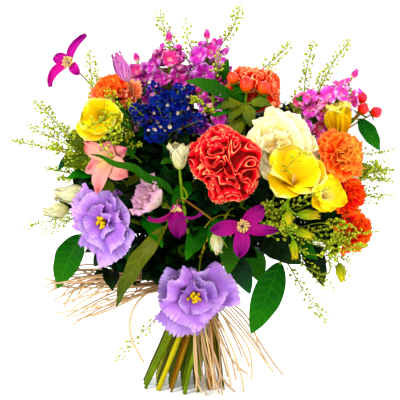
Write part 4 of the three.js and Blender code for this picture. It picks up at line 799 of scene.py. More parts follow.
def celosia(name, R, look, wavelength, columns, bay=(0.0, 0.0)):
    """A crested head: paired thin pale crests wind over a deep velvet dome. The bay is a dent in its side."""
    lowest = 121
    ripples = 26
    at, turn = seated(name)
    polar = np.radians(np.linspace(1.5, lowest, int(columns * 0.4)))[:, None]
    bearing = (TAU * np.arange(columns) / columns)[None, :]
    ones = np.ones_like(polar * bearing)
    ball = [np.sin(polar) * np.cos(bearing), np.sin(polar) * np.sin(bearing), np.cos(polar) * ones]
    ball = np.stack(ball, -1)
    warp = np.stack([np.sin(ball @ v(1.3, 0.4, 0.9) * R * 0.16 + k) for k in range(3)], -1) * 3.0
    field = np.zeros(ones.shape)
    for _ in range(ripples):
        way = unit(rng.normal(size=3)) * TAU / wavelength * rng.uniform(0.8, 1.2)
        field += np.cos((ball * R + warp) @ way + rng.random() * TAU)
    field /= sqrt(ripples / 2)
    crest = np.exp(-(((np.abs(field) - 0.62) / 0.32) ** 2))
    edge = np.exp(-(((np.abs(field) - 0.62) / 0.2) ** 2))
    crinkle = 0.5 * np.sin(field * 11 + ball @ v(9, 7, 11) * 3)
    lump = 0.06 * np.sin(ball @ v(5.2, 3.1, 4.4)) + 0.05 * np.sin(ball @ v(-4, 6.3, 2.2) + 1)
    size = R * (0.82 + lump) + (0.19 * R) * crest + crinkle * crest
    size = size * (1 - bay[1] * np.exp((np.cos(bearing - radians(bay[0])) - 1) * 8))
    fade = np.clip((lowest - np.degrees(polar)) / 22, 0, 1) * ones
    points = ball * (size * (0.45 + 0.55 * fade**0.5))[..., None]
    points[..., 2] = np.where(points[..., 2] < 0, points[..., 2] * 0.84, points[..., 2]) + R * 0.64 * 0.9
    head = Shape()
    form = form_of(polar / polar.max() * ones, bearing / TAU * ones, 0.5, edge)
    head.grid(points @ turn.T + at, form, wrap=True)
    make(name + "_crest", head, look, None, [name + "_head"])


def freesia(name, R, close=1.0, droop=20, look="freesia_yellow"):
    petals, centre = Shape(), Shape()
    at, turn = seated(name)
    for ring in range(2):
        for k in range(3):
            a = ring * TAU / 6 + k * TAU / 3 + rng.normal(0, 0.12)
            low, high = (20 - 4 * ring) * close, (66 - 10 * ring) * close + rng.normal(0, 6)
            high += droop * max(0, -sin(a)) + 8 * sin(a * 2 + 1) * close
            petal(petals, at, turn, a, R * (1.5 - 0.06 * ring) * rng.uniform(0.94, 1.06), (low, high),
                  R * 0.62 * rng.uniform(0.9, 1.1), height=2 + ring, rows=20, cols=19, claw=0.28, widest=0.7,
                  tip=(2.6, 0.5), rim=0.06, cup=0.42, wave=2.2, waves=1.5, frill=0.6, frills=4,
                  curl=20 * close, bend=rng.normal(0, 0.07), twist=rng.normal(0, 0.2), roll=1.0)
    for k in range(3):
        top = at + turn @ round_z(k * 2.1, 1.6, R * 0.75)
        tube(centre, [at + turn[:, 2] * 4, top], [0.5, 0.9], 5)
    bloom_piece(name, petals, look, "freesia_yellow", centre)


# Petals of an alstroemeria: turn, length, half width, lean, curl, bend and twist
WAVY = [
    (110, 1.12, 10.0, (22, 84), 20, 0.05, -0.2), (172, 1.02, 9.0, (28, 90), 40, 0.15, 0.6),
    (236, 1.42, 10.5, (24, 82), 20, -0.08, 0.3), (300, 1.36, 11.5, (24, 80), 20, 0.1, -0.3),
    (352, 1.0, 9.0, (30, 88), 40, 0.1, 0.5), (50, 0.95, 10.0, (20, 64), 20, -0.1, 0.1),
]


def alstroemeria(name, R):
    petals, centre = Shape(), Shape()
    stamens = 6
    at, turn = seated(name)
    for around, length, half, lift, curl, bend, twist in WAVY:
        petal(petals, at, turn, radians(around), R * length, lift, half, height=2, rows=22, cols=17,
              claw=0.22, widest=0.62, tip=(2.2, 0.6), rim=0.04, cup=0.3, wave=3.0, waves=1.6, frill=0.7,
              frills=4, roll=1.6, curl=curl, bend=bend, twist=twist)
    for k in range(stamens):
        top = at + turn @ (round_z(k * TAU / stamens, 4, R * rng.uniform(0.7, 0.95)) - v(0, 3, 0))
        way = bezier(at + turn[:, 2] * 4, turn[:, 2], top, turn[:, 2] + turn[:, 0] * 0.4, 6, 0.3)
        tube(centre, way, np.linspace(0.4, 0.6, 6), 5)
        turned(centre, top, turn_to(turn[:, 2]), rounded(2.6, 0.9, 5), 6)
    bloom_piece(name, petals, "alstroemeria_salmon", None, centre)


lisianthus("lisianthus_left", 32, 0.0, 8, (0.16, 100, 2))
lisianthus("lisianthus_low", 35, 0.5, 6, (0.15, 140, 3))
lisianthus("lisianthus_back", 35, 1.0)
pale_lisianthus("lisianthus_pale", 17)
celosia("celosia_red", 38, "celosia_red", 17, 264, (222, 0.3))
celosia("celosia_coral", 31, "celosia_coral", 13, 216)
celosia("celosia_back", 36, "celosia_red", 19, 184)
cream_bloom("carnation_cream", 34, 0.2, (0.26, 35, 1), 41)
cream_bloom("carnation_cream_back", 37, 1.1, (0, 0, 2), 25)
carnation("carnation_back_right", 26, "carnation_cream")
carnation("carnation_right_upper", 27, "carnation_orange", "carnation_peach")
carnation("carnation_right_middle", 21, "carnation_red_orange")
carnation("carnation_right_low", 26, "carnation_ember", slot="carnation_red_orange")
carnation("carnation_left", 29, "carnation_coral", "carnation_orange")
carnation("carnation_back_left", 28, "carnation_orange", "carnation_peach")
freesia("freesia_right", 30, droop=34)
freesia("freesia_side", 20, 0.95, look="freesia_pale")
freesia("freesia_upper", 28, 0.26, 4)
freesia("freesia_left", 24, 0.95)
freesia("freesia_back", 27)
alstroemeria("alstroemeria_left", 32)
alstroemeria("alstroemeria_back", 28)

# The side branches that carry a bloom: stem, share, bloom, and the radius and length of its calyx
SIDE_BLOOMS = [
    ("lisianthus_left", 0.5, "lisianthus_pale", 3.2, 7),
    ("spray_carnation_right", 0.45, "carnation_right_middle", 4.5, 12),
    ("spray_carnation_right", 0.25, "carnation_right_low", 5, 13),
    ("carnation_cream_back", 0.5, "carnation_back_right", 5, 13),
    ("freesia_right", 0.6, "freesia_side", 2.2, 6),
]
for name, share, bloom, radius, length in SIDE_BLOOMS:
    head, facing = v(*HEADS[bloom][0]), unit(HEADS[bloom][1])
    twig(name, head - facing * length, facing, share, 1.7, 1.4, 8)
    calyx(wood[name], head, facing, radius, length)

# Pointed petals of a clematis: turn, length, half width, lean, curl, bend and twist
LEFT_STAR = [
    (76, 32, 5.2, (52, 88), 10, -0.62, 0.5), (139, 20, 7.4, (50, 84), 20, 0.05, 0.2),
    (184, 31, 5.8, (52, 92), 50, 0.6, -0.3), (303, 20, 6.0, (56, 92), 50, -0.1, 0.6),
]
FRONT_STAR = [
    (50, 31, 8.6, (62, 84), 20, -0.05, 0.3), (188, 34, 8.0, (64, 88), 30, 0.08, -0.3),
    (272, 33, 8.4, (62, 84), 20, -0.06, 0.35), (342, 35, 6.4, (60, 80), 40, 0.3, -0.4),
]
BELL = [
    (8, 35, 5.6, (20, 92), 50, 0.15, 0.5), (182, 35, 8.4, (22, 94), 30, -0.08, -0.2),
    (275, 34, 9.4, (12, 50), 0, 0.05, 0.2), (90, 26, 7.4, (12, 46), 0, 0.0, 0.3),
]
CLEMATIS = {
    "clematis_left": ("clematis_bright", [("clematis_left", LEFT_STAR)]),
    "clematis_front": ("clematis_magenta", [("clematis_front", FRONT_STAR), ("clematis_bell", BELL)]),
}
CLEMATIS_STAMENS = 30


def clematis(petals, tuft, name, star):
    at, facing = HEADS[name]
    turn = turn_to(facing)
    at = v(*at) - unit(facing) * 2
    for around, length, half, lift, curl, bend, twist in star:
        petal(petals, at, turn, radians(around), length, lift, half, height=2.6, rows=24, cols=13, claw=0.4,
              widest=0.56, tip=(2.2, 0.66), rim=0.0, cup=0.3, wave=2.4, waves=1.5, frill=0.4, frills=4,
              curl=curl, roll=1.2, bend=bend, twist=twist)
    for k in range(CLEMATIS_STAMENS):
        a = k * GOLDEN
        root = at + turn @ round_z(a, 1.4, 3)
        out = turn @ unit(round_z(a, 0.15 + 0.55 * sqrt(k / CLEMATIS_STAMENS), 1))
        top = root + out * rng.uniform(8, 11)
        way = bezier(root, turn[:, 2], top, out + rng.normal(0, 0.25, 3), 5, 0.35)
        tube(tuft, way, [0.35, 0.35, 0.4, 0.65, 0.6], 4)


for name, (look, blooms) in CLEMATIS.items():
    petals, tuft = Shape(), Shape()
    for bloom, star in blooms:
        clematis(petals, tuft, bloom, star)
    make(name + "_petals", petals, look, "clematis_magenta")
    make(name + "_stamens", tuft, "stamen_cream", "clematis_magenta")
twig("clematis_front", *HEADS["clematis_bell"], 0.5, 1.2, 1.0)


# Stock: each floret has four broad wavy petals with a notch at the rim
def floret_model():
    model = Shape()
    for k in range(4):
        petal(model, v(0, 0, 0), np.eye(3), TAU * k / 4 + rng.normal(0, 0.15), rng.uniform(10, 12.5),
              (26, 92 + rng.normal(0, 16)), rng.uniform(4.6, 6.2), rows=8, cols=9, claw=0.1, widest=0.85,
              rim=0.1, notch=0.1, cup=rng.uniform(-0.2, 0.25), wave=2.2, waves=rng.uniform(1, 2),
              frill=0.6, frills=3.5, roll=0.6, twist=rng.normal(0, 0.3))
    return model


FLORETS = [floret_model() for _ in range(6)]
# Florets, where they begin, how far they stand out, their size and their look
STOCKS = {
    "stock_top_left": (36, 0.62, 20, 1.5, "stock_magenta"),
    "stock_top_right": (30, 0.72, 18, 1.45, "stock_magenta"),
    "stock_centre": (20, 0.72, 13, 1.15, "stock_magenta"),
    "stock_right": (44, 0.5, 20, 1.4, "stock_pink"),
    "stock_back": (34, 0.64, 18, 1.5, "stock_magenta"),
}
CLOSED_FLORETS = 5
# The side spray of the stock at the right: its middle, its spread and how many florets it has
SIDE_SPRAY = (v(131, -54, 314), v(15, 6, 9), 10)
for name, (count, low, reach, size, look) in STOCKS.items():
    florets = Shape()
    for k in range(count):
        spot, way = stems[name].spot(low + (0.985 - low) * k / (count - 1))
        out = round_z(k * GOLDEN)
        out = unit(out - way * np.dot(out, way))
        facing = unit(out + way * rng.uniform(0.0, 0.8) + rng.normal(0, 0.2, 3))
        far = reach * (1 - 0.35 * (k / count) ** 2) * rng.uniform(0.75, 1.1)
        turn = turn_to(facing, rng.random() * TAU)
        if k < count - CLOSED_FLORETS:
            grown = size * (1 - 0.25 * k / count) * rng.uniform(0.85, 1.15)
            florets.scatter(FLORETS[k % 6], [spot + facing * (far - 3)], [turn], [grown])
        else:
            turned(florets, spot + facing * (far - 6), turn, rounded(9, 3.2, 7, 0.65), 8, ribs=4, rib=0.12)
        stalk = bezier(spot, way * 0.6 + out, spot + facing * (far - 2), facing, 4, 0.3)
        tube(wood[name], stalk, [0.9, 0.8, 0.9, 1.5], 5, shared=stems[name].shared)
    if name == "stock_right":
        middle, spread, side_florets = SIDE_SPRAY
        for k in range(side_florets):
            spot, way = stems[name].spot(0.6 + 0.02 * k)
            end = middle + spread * rng.uniform(-1, 1, 3)
            facing = unit(v(-0.2, -0.9, 0.5) + rng.normal(0, 0.3, 3))
            turn = turn_to(facing, rng.random() * TAU)
            florets.scatter(FLORETS[k % 6], [end - facing], [turn], [rng.uniform(0.8, 1.1)])
            grow(name, bezier(spot, unit(end - spot), end, facing, 6, 0.3), 1.0, 1.3)
    make(name + "_florets", florets, look, "stock_magenta")


# Statice: fingers crowded with tiny blue florets, a few of them open and pale
def star_model(petal_count, R, rows):
    model = Shape()
    for k in range(petal_count):
        petal(model, v(0, 0, 0), np.eye(3), TAU * k / petal_count, R, (30, 80), R * 0.36, rows=rows, cols=3,
              claw=0.5, widest=0.4, tip=(1.5, 0.8))
    return model


BLUE_STAR, PALE_STAR = star_model(5, 2.7, 3), star_model(7, 3.1, 4)
# Stem, the fingers' length and spread, how many there are, the shorter ones between them, and florets on each
FINGERS = [("statice", 56, 66, 8, 4, 138), ("statice_back", 48, 62, 7, 3, 84)]
EYES = 5
FINGER_RADIUS = 8.8
for name, reach, spread, count, between, crowd in FINGERS:
    blue, pale = Shape(), Shape()
    stem = stems[name]
    at = stem.head - stem.facing * 2
    base = turn_to(stem.facing)
    for k in range(count + between):
        main = k < count
        rank = (k % count + 0.2) / count
        lean = radians(spread) * sqrt(rank) * (1 if main else 0.75)
        out = base @ round_z(k * GOLDEN + (0 if main else 0.5), sin(lean), cos(lean))
        far = reach * (1 - 0.18 * rank) * (1.02 if main else 0.82)
        tube(wood[name], [at, at + out * far * 0.5, at + out * far * 0.9], [1.3, 1.1, 0.8], 6)
        local = turn_to(out)
        places, turns, sizes = [], [], []
        for _ in range(crowd):
            t = rng.uniform(0.34, 1.04)
            b = rng.random() * TAU
            bulge = FINGER_RADIUS * sin(pi * min(1, (t - 0.26) / 0.8)) ** 0.6 * rng.uniform(0.7, 1.15)
            side = local @ round_z(b)
            places.append(at + out * far * t + side * bulge)
            turns.append(turn_to(side + out * (0.3 + 1.2 * max(0, t - 0.7)) + rng.normal(0, 0.35, 3), b))
            sizes.append(rng.uniform(0.75, 1.3))
        blue.scatter(BLUE_STAR, places, turns, sizes)
        for i in rng.choice(len(places), EYES, replace=False):
            pale.scatter(PALE_STAR, [places[i] + turns[i][:, 2] * 1.4], [turns[i]], [rng.uniform(0.8, 1.2)])
    make(name + "_florets", blue, "statice_blue")
    make(name + "_eyes", pale, "statice_eye", "statice_blue")

# Berries of the hypericum, each in its five sepals
berries = Shape()


def sepals(at, facing, size, count=5, lift=(70, 110)):
    turn = turn_to(facing, rng.random() * TAU)
    for k in range(count):
        petal(fresh, at, turn, k * TAU / count, size * rng.uniform(0.85, 1.15), lift, size * 0.36,
              rows=7, cols=5, claw=0.3, widest=0.55, tip=(1.6, 0.8), cup=-0.2)


def berry(name, at, facing, length, radius):
    facing = unit(facing)
    profile = rounded(length + 0.5, radius, 11, 0.52)
    turned(berries, at - facing, turn_to(facing), profile, 16, ribs=3, rib=0.03)
    top = at + facing * (length - 1.2)
    tube(wood[name], [top, top + facing * 1.5], [0.7, 0.3], 5)
    sepals(at, facing, 12)


berry("hypericum_top", stems["hypericum_top"].head, [0, 0.05, 1], 18, 7)
berry("hypericum_right", stems["hypericum_right"].head, [0.45, -0.1, 0.88], 14, 6.5)
# Stem, share, tip, the way it points, length and radius
BRANCH_BERRIES = [
    ("hypericum_top", 0.9, [50, -80, 352], [-0.3, 0, 0.95], 15, 6.2),
    ("hypericum_top", 0.9, [88, -88, 342], [0.5, 0, 0.86], 15, 6.5),
    ("hypericum_right", 0.9, [194, -16, 327], [0.1, 0, 1], 14, 6),
    ("hypericum_right", 0.85, [215, -20, 308], [0.85, 0, 0.45], 14, 6.5),
]
for name, share, tip, facing, length, radius in BRANCH_BERRIES:
    facing = unit(facing)
    base = v(*tip) - facing * length
    twig(name, base, facing, share)
    berry(name, base, facing, length, radius)
make("hypericum_berries", berries, "berry_red")

# Buds
cream, green, mauve = Shape(), Shape(), Shape()


def bud(shape, at, facing, length, radius):
    """Petals wrapped round each other, closed at the tip."""
    wraps = 5
    turn = turn_to(facing, rng.random() * TAU)
    profile = rounded(length * 0.96, radius * 0.8, 14, 0.45)
    turned(shape, at - unit(facing), turn, profile, 16, ribs=wraps, rib=0.08, twist=1.6)
    for k in range(wraps):
        petal(shape, at, turn, k * TAU / wraps, length * 1.04, (32, -24), radius * 0.86, rows=14, cols=9,
              claw=0.35, widest=0.45, tip=(1.4, 0.9), cup=0.5, lap=-radius * 0.16, bend=0.12,
              frill=0.3, frills=3)


def long_sepals(name, at, facing, length):
    count = 5
    turn = turn_to(facing, rng.random())
    for k in range(count):
        out = turn @ round_z(k * TAU / count)
        end = at + facing * length * 0.8 + out * rng.uniform(6, 11)
        way = bezier(at, out + facing, end, facing + out * 0.2, 6, 0.35)
        tube(wood[name], way, np.linspace(0.9, 0.2, 6), 5)


UPRIGHT_BUD = stems["lisianthus_bud"].head
UPRIGHT = [0, -0.2, 1]
bud(cream, UPRIGHT_BUD, UPRIGHT, 24, 8.5)
for k in range(4):
    petal(cream, UPRIGHT_BUD, turn_to(UPRIGHT), k * TAU / 4 + 0.4, 25 + 2 * k, (30, 6), 9.5, rows=16, cols=15,
          claw=0.4, widest=0.6, tip=(2.4, 0.5), cup=0.4, wave=2.0, waves=2.4, frill=1.0, frills=5, teeth=0.04,
          curl=40)
sepals(UPRIGHT_BUD, UPRIGHT, 10, lift=(20, 40))
# Stem, share, tip, the way it points, length, radius, the stalk's radius and kind
BUDS = [
    ("lisianthus_left", 0.7, [-135, -72, 223], [-0.97, -0.1, 0.1], 42, 13, 1.5, cream),
    ("lisianthus_left", 0.55, [-147, -72, 203], [-0.97, -0.1, -0.1], 28, 9.5, 1.5, cream),
    ("lisianthus_low", 0.35, [38, -126, 168], [0.2, -0.4, -0.9], 22, 8, 1.5, cream),
    ("freesia_right", 0.85, [109, -140, 200], [0.1, -0.4, -0.9], 15, 5.5, 1.1, green),
    ("freesia_right", 0.9, [141, -130, 209], [1, -0.1, 0], 24, 6, 1.1, green),
    ("freesia_right", 0.5, [134, -126, 186], [0.95, -0.1, -0.3], 19, 5, 1.1, green),
    ("freesia_right", 0.5, [116, -124, 162], [0.1, -0.2, -0.97], 20, 4.8, 1.1, green),
    ("thlaspi_low", 0.8, [168, -92, 132], [0.2, -0.2, -0.95], 20, 6.5, 1.1, green),
    ("spray_carnation_left", 0.7, [-57, -78, 322], [-0.45, -0.3, 0.84], 20, 6, 1.0, green),
    ("clematis_left", 0.55, [-69, -84, 371], [-0.43, 0, 0.9], 33, 9, 1.0, mauve),
]
for name, share, tip, facing, length, radius, stalk, shape in BUDS:
    facing = unit(facing)
    base = v(*tip) - facing * length
    twig(name, base, facing, share, stalk, stalk * 0.85)
    bud(shape, base, facing, length, radius)
    if shape is cream:
        long_sepals(name, base, facing, length)
    elif shape is green:
        sepals(base, facing, 7, lift=(15, 20))

# Closed buds at the tips of the stocks, green at the foot
STOCK_BUDS = [
    ("stock_top_right", [26, -40, 394]), ("stock_top_right", [42, -40, 385]),
    ("stock_top_right", [50, -40, 374]), ("stock_right", [186, -40, 352]),
    ("stock_top_left", [-14, -40, 392]), ("stock_back", [-54, 46, 366]),
]
STOCK_BUD_LENGTH = 11
stock_buds = Shape()
for name, tip in STOCK_BUDS:
    root, leave = stems[name].spot(0.93)
    facing = unit(v(*tip) - root + leave * 8)
    base = v(*tip) - facing * STOCK_BUD_LENGTH
    tube(wood[name], bezier(root, leave, base, facing, 6, 0.4), [1.1, 1.0, 0.9, 0.9, 1.0, 1.3], 6)
    bud(stock_buds, base, facing, STOCK_BUD_LENGTH, 4.2)
    sepals(base, facing, 7, 4, (26, 6))
make("stock_buds", stock_buds, "stock_magenta")
make("cream_buds", cream, "bud_cream", "lisianthus_bud")
make("green_buds", green, "bud_green", "pod_green")
make("clematis_bud", mauve, "clematis_mauve", "clematis_magenta")

# The large leaves: stem, share, base, tip, width, the way it faces, sag and kind
LEAVES = [
    ("foliage_left", 0.97, [-108, -60, 178], [-133, -64, 120], 30, [-0.2, -1, 0.1], 0.08, dark),
    ("foliage_left", 0.7, [-15, -100, 194], [-70, -96, 108], 19, [-0.3, -0.9, 0.3], 0.14, fresh),
    ("foliage_right", 0.8, [104, -72, 150], [73, -74, 73], 32, [0, -1, 0.2], 0.08, dark),
    # The three leaves in the middle take the near-black look: painted shade
    ("foliage_right", 0.95, [128, -74, 172], [149, -80, 126], 24, [0.3, -0.9, 0.2], 0.08, deep),
    ("foliage_right", 0.5, [80, -98, 190], [122, -108, 154], 40, [0.2, -0.9, 0.4], 0.06, deep),
    ("foliage_right", 0.3, [52, -96, 164], [71, -104, 122], 22, [0.1, -1, 0.2], 0.08, deep),
    ("lisianthus_bud", 0.85, [2, -138, 226], [-92, -141, 272], 12, [0, -0.6, 0.8], 0.06, dark),
    ("hypericum_right", 0.8, [188, -26, 298], [213, -20, 263], 18, [0, -0.9, 0.4], 0.06, dark),
    ("hypericum_top", 0.75, [62, -104, 302], [52, -112, 282], 18, [-0.3, -0.8, 0.6], 0.1, fresh),
    ("hypericum_top", 0.85, [50, -98, 324], [4, -102, 343], 17, [0, -0.8, 0.6], 0.14, dark),
    ("hypericum_top", 0.8, [56, -96, 318], [30, -104, 306], 14, [-0.1, -0.8, 0.5], 0.12, dark),
    ("spray_carnation_left", 0.75, [-81, -74, 324], [-52, -92, 292], 17, [0, -0.9, 0.4], 0.1, dark),
    ("foliage_back", 0.97, [14, 104, 172], [8, 128, 112], 34, [0, 1, 0.3], 0.08, dark),
    ("foliage_back", 0.6, [64, 78, 150], [92, 92, 92], 32, [0.3, 0.9, 0.2], 0.08, dark),
    ("foliage_back", 0.5, [-40, 68, 150], [-70, 80, 88], 30, [-0.3, 0.9, 0.2], 0.08, dark),
    ("foliage_left", 0.9, [-100, 10, 170], [-140, 22, 118], 32, [-0.9, 0.3, 0.3], 0.08, dark),
    ("alstroemeria_back", 0.8, [128, 30, 186], [168, 20, 140], 30, [0.9, 0, 0.4], 0.08, dark),
]
for name, share, base, tip, width, face, sag, shape in LEAVES:
    base, tip = v(*base), v(*tip)
    axis = unit(tip - base)
    up = unit(np.cross(np.cross(axis, unit(face)), axis))
    way = unit(axis + up * 2.8 * sag)
    near = stems[name].vertices[np.linalg.norm(stems[name].vertices - tip, axis=1).argmin()]
    if np.linalg.norm(near - tip) < 14:
        tip = near
    twig(name, base + way * 2.5, way, share, 1.2, 0.8)
    leaf(shape, base, tip, width, face, sag, 28, 13)

# Smaller leaves between the blooms: stem, share, base, tip, width, the way it faces and kind
SMALL_LEAVES = [
    ("alstroemeria_left", 0.8, [-88, -60, 258], [-124, -66, 278], 15, [0, -0.7, 0.7], fresh),
    ("alstroemeria_left", 0.8, [-86, -62, 250], [-128, -70, 258], 14, [0, -0.8, 0.6], fresh),
    ("alstroemeria_left", 0.85, [-88, -56, 266], [-108, -60, 290], 13, [-0.4, -0.8, 0.3], fresh),
    ("alstroemeria_left", 0.75, [-86, -60, 244], [-121, -74, 240], 15, [0, -0.8, 0.6], dark),
    ("alstroemeria_left", 0.75, [-90, -66, 247], [-124, -78, 252], 13, [0, -0.6, 0.8], fresh),
    ("spray_carnation_left", 0.7, [-54, -60, 304], [-77, -62, 332], 13, [-0.5, -0.8, 0.3], dark),
    ("spray_carnation_left", 0.6, [-60, -70, 286], [-50, -92, 262], 16, [0, -0.9, 0.4], dark),
    ("hypericum_top", 0.8, [60, -88, 312], [41, -84, 338], 13, [-0.3, -0.9, 0.3], dark),
    ("hypericum_top", 0.8, [62, -88, 312], [53, -80, 342], 12, [0.2, -0.9, 0.3], dark),
    ("hypericum_top", 0.8, [70, -90, 312], [88, -92, 328], 12, [0.2, -0.9, 0.3], dark),
    ("stock_centre", 0.85, [14, -86, 326], [42, -100, 328], 12, [0, -0.6, 0.8], fresh),
    ("stock_top_right", 0.75, [38, -56, 338], [48, -62, 364], 11, [0.3, -0.9, 0.2], dark),
    ("hypericum_top", 0.85, [62, -98, 318], [48, -108, 300], 14, [-0.2, -0.8, 0.5], fresh),
    ("hypericum_top", 0.85, [66, -98, 318], [70, -108, 296], 14, [0.1, -0.8, 0.5], fresh),
    ("hypericum_top", 0.85, [70, -98, 320], [92, -104, 318], 13, [0.2, -0.7, 0.6], fresh),
    ("hypericum_top", 0.85, [60, -98, 320], [38, -106, 314], 13, [-0.2, -0.7, 0.6], fresh),
    ("celosia_red", 0.9, [50, -96, 286], [68, -102, 310], 13, [0.2, -0.9, 0.3], fresh),
    ("celosia_red", 0.8, [4, -86, 262], [-22, -100, 258], 16, [0, -0.8, 0.6], dark),
    ("celosia_red", 0.8, [10, -84, 236], [-10, -104, 214], 18, [-0.2, -0.9, 0.3], dark),
    ("foliage_right", 0.3, [44, -92, 200], [30, -108, 168], 22, [-0.1, -0.9, 0.3], dark),
    ("foliage_right", 0.3, [24, -84, 190], [4, -104, 158], 20, [-0.2, -0.9, 0.3], dark),
    ("foliage_right", 0.4, [50, -90, 180], [48, -110, 144], 24, [0.1, -0.9, 0.4], dark),
    ("foliage_left", 0.6, [-40, -80, 200], [-20, -110, 172], 18, [0.2, -0.9, 0.3], dark),
    ("stock_right", 0.8, [158, -52, 310], [180, -60, 296], 14, [0.3, -0.8, 0.5], dark),
    ("stock_right", 0.75, [140, -48, 312], [118, -60, 322], 14, [0, -0.8, 0.6], dark),
    ("freesia_upper", 0.7, [160, -52, 262], [186, -66, 252], 14, [0.4, -0.8, 0.4], dark),
    ("thlaspi_low", 0.8, [118, -92, 172], [140, -104, 158], 16, [0.2, -0.9, 0.4], dark),
    ("lisianthus_left", 0.8, [-70, -70, 222], [-96, -84, 236], 18, [0, -0.8, 0.6], fresh),
]
for name, share, base, tip, width, face, shape in SMALL_LEAVES:
    base, tip = v(*base), v(*tip)
    root, leave = stems[name].spot(share)
    grow(name, bezier(root, leave, base + unit(tip - base) * 2, tip - base, 10, 0.4), 1.0, 0.7)
    leaf(shape, base, tip, width, face, rng.uniform(0.06, 0.16), ripple=0.03)


# Wands of seed pods
def pod_model():
    model = Shape()
    section = v(0.2, 0, 0), v(-0.1, 0.2, 0), v(-0.1, -0.2, 0)
    stalk = np.array([[corner + v(0, 0, z) for corner in section] for z in (0, 3.4)])
    model.grid(stalk, form_of(np.array([[0.0], [0.3]]), np.array([[0, 0.3, 0.7]]), 0), wrap=True)
    turned(model, v(0, 0, 3.2), np.eye(3) * v(1, 0.45, 1), rounded(2.8, 1.5, 4, 0.62), 5)
    return model


POD = pod_model()
pods = {"front": Shape(), "back": Shape()}


def dress_wand(line, count, bare=0.35, size=1.2):
    """Pods in a spiral round the outer part of a branch, closer together towards its tip."""
    group = pods["front" if line[-1][1] < -30 else "back"]
    steps = np.concatenate([[0], np.cumsum(np.linalg.norm(np.diff(line, axis=0), axis=1))])
    for k in range(count):
        far = steps[-1] * (1 - (1 - bare) * (k / count) ** 1.3)
        i = min(int(np.searchsorted(steps, far)), len(line) - 1)
        before = max(i - 1, 0)
        share = (far - steps[before]) / max(steps[i] - steps[before], 1e-6)
        spot = line[before] + (line[i] - line[before]) * min(share, 1)
        way = unit(line[i] - line[max(i - 2, 0)])
        out = round_z(k * GOLDEN, 1, 0.15)
        out = unit(out - way * np.dot(out, way))
        facing = unit(out + way * (0.6 + 1.6 * max(0, 1 - k / 6)) + rng.normal(0, 0.25, 3))
        grown = size * (0.6 + 0.5 * min(1, k / 14)) * rng.uniform(0.8, 1.2)
        group.scatter(POD, [spot], [turn_to(facing, rng.random() * TAU)], [grown])


# How many pods a wand, a spray and a short spray of a thicket have
WAND_PODS = 58
SPRAY_PODS = 32
THICKET_PODS = 20

# The wands on each stem: share, tip and lean
WANDS = [
    ("thlaspi_top", [
        (0.9, [-24, -24, 410], [0, 0, 1]), (0.98, [61, -16, 417], [-0.05, 0, 1]),
        (0.75, [114, -30, 378], [0.5, 0, 0.85]),
    ]),
    ("thlaspi_right", [(0.9, [141, 0, 377], [0.4, 0, 0.9]), (0.97, [180, 4, 379], [0.7, 0, 0.7])]),
    ("thlaspi_left", [
        (0.8, [-99, -36, 368], [-0.2, 0, 1]), (0.98, [-160, 0, 313], [-0.75, 0.2, 0.6]),
        (0.85, [-186, 8, 270], [-1, 0.1, 0.15]), (0.6, [-144, -44, 246], [-0.9, 0, 0.3]),
        (0.35, [-171, -22, 180], [-0.9, 0, -0.15]),
    ]),
    ("thlaspi_low", [
        (0.3, [-70, -54, 40], [-0.5, -0.1, -0.85]), (0.8, [156, -32, 78], [0.7, 0.2, -0.7]),
        (0.95, [178, -44, 146], [0.8, 0, -0.5]),
    ]),
    ("thlaspi_right", [(0.6, [231, 16, 238], [0.9, 0.1, 0.3]), (0.5, [60, 128, 300], [0.1, 0.9, 0.4])]),
    ("thlaspi_top", [(0.6, [-60, 120, 320], [-0.4, 0.7, 0.6])]),
]
for name, rows in WANDS:
    for share, tip, lean in rows:
        dress_wand(twig(name, tip, lean, share, 1.1, 0.35), WAND_PODS)

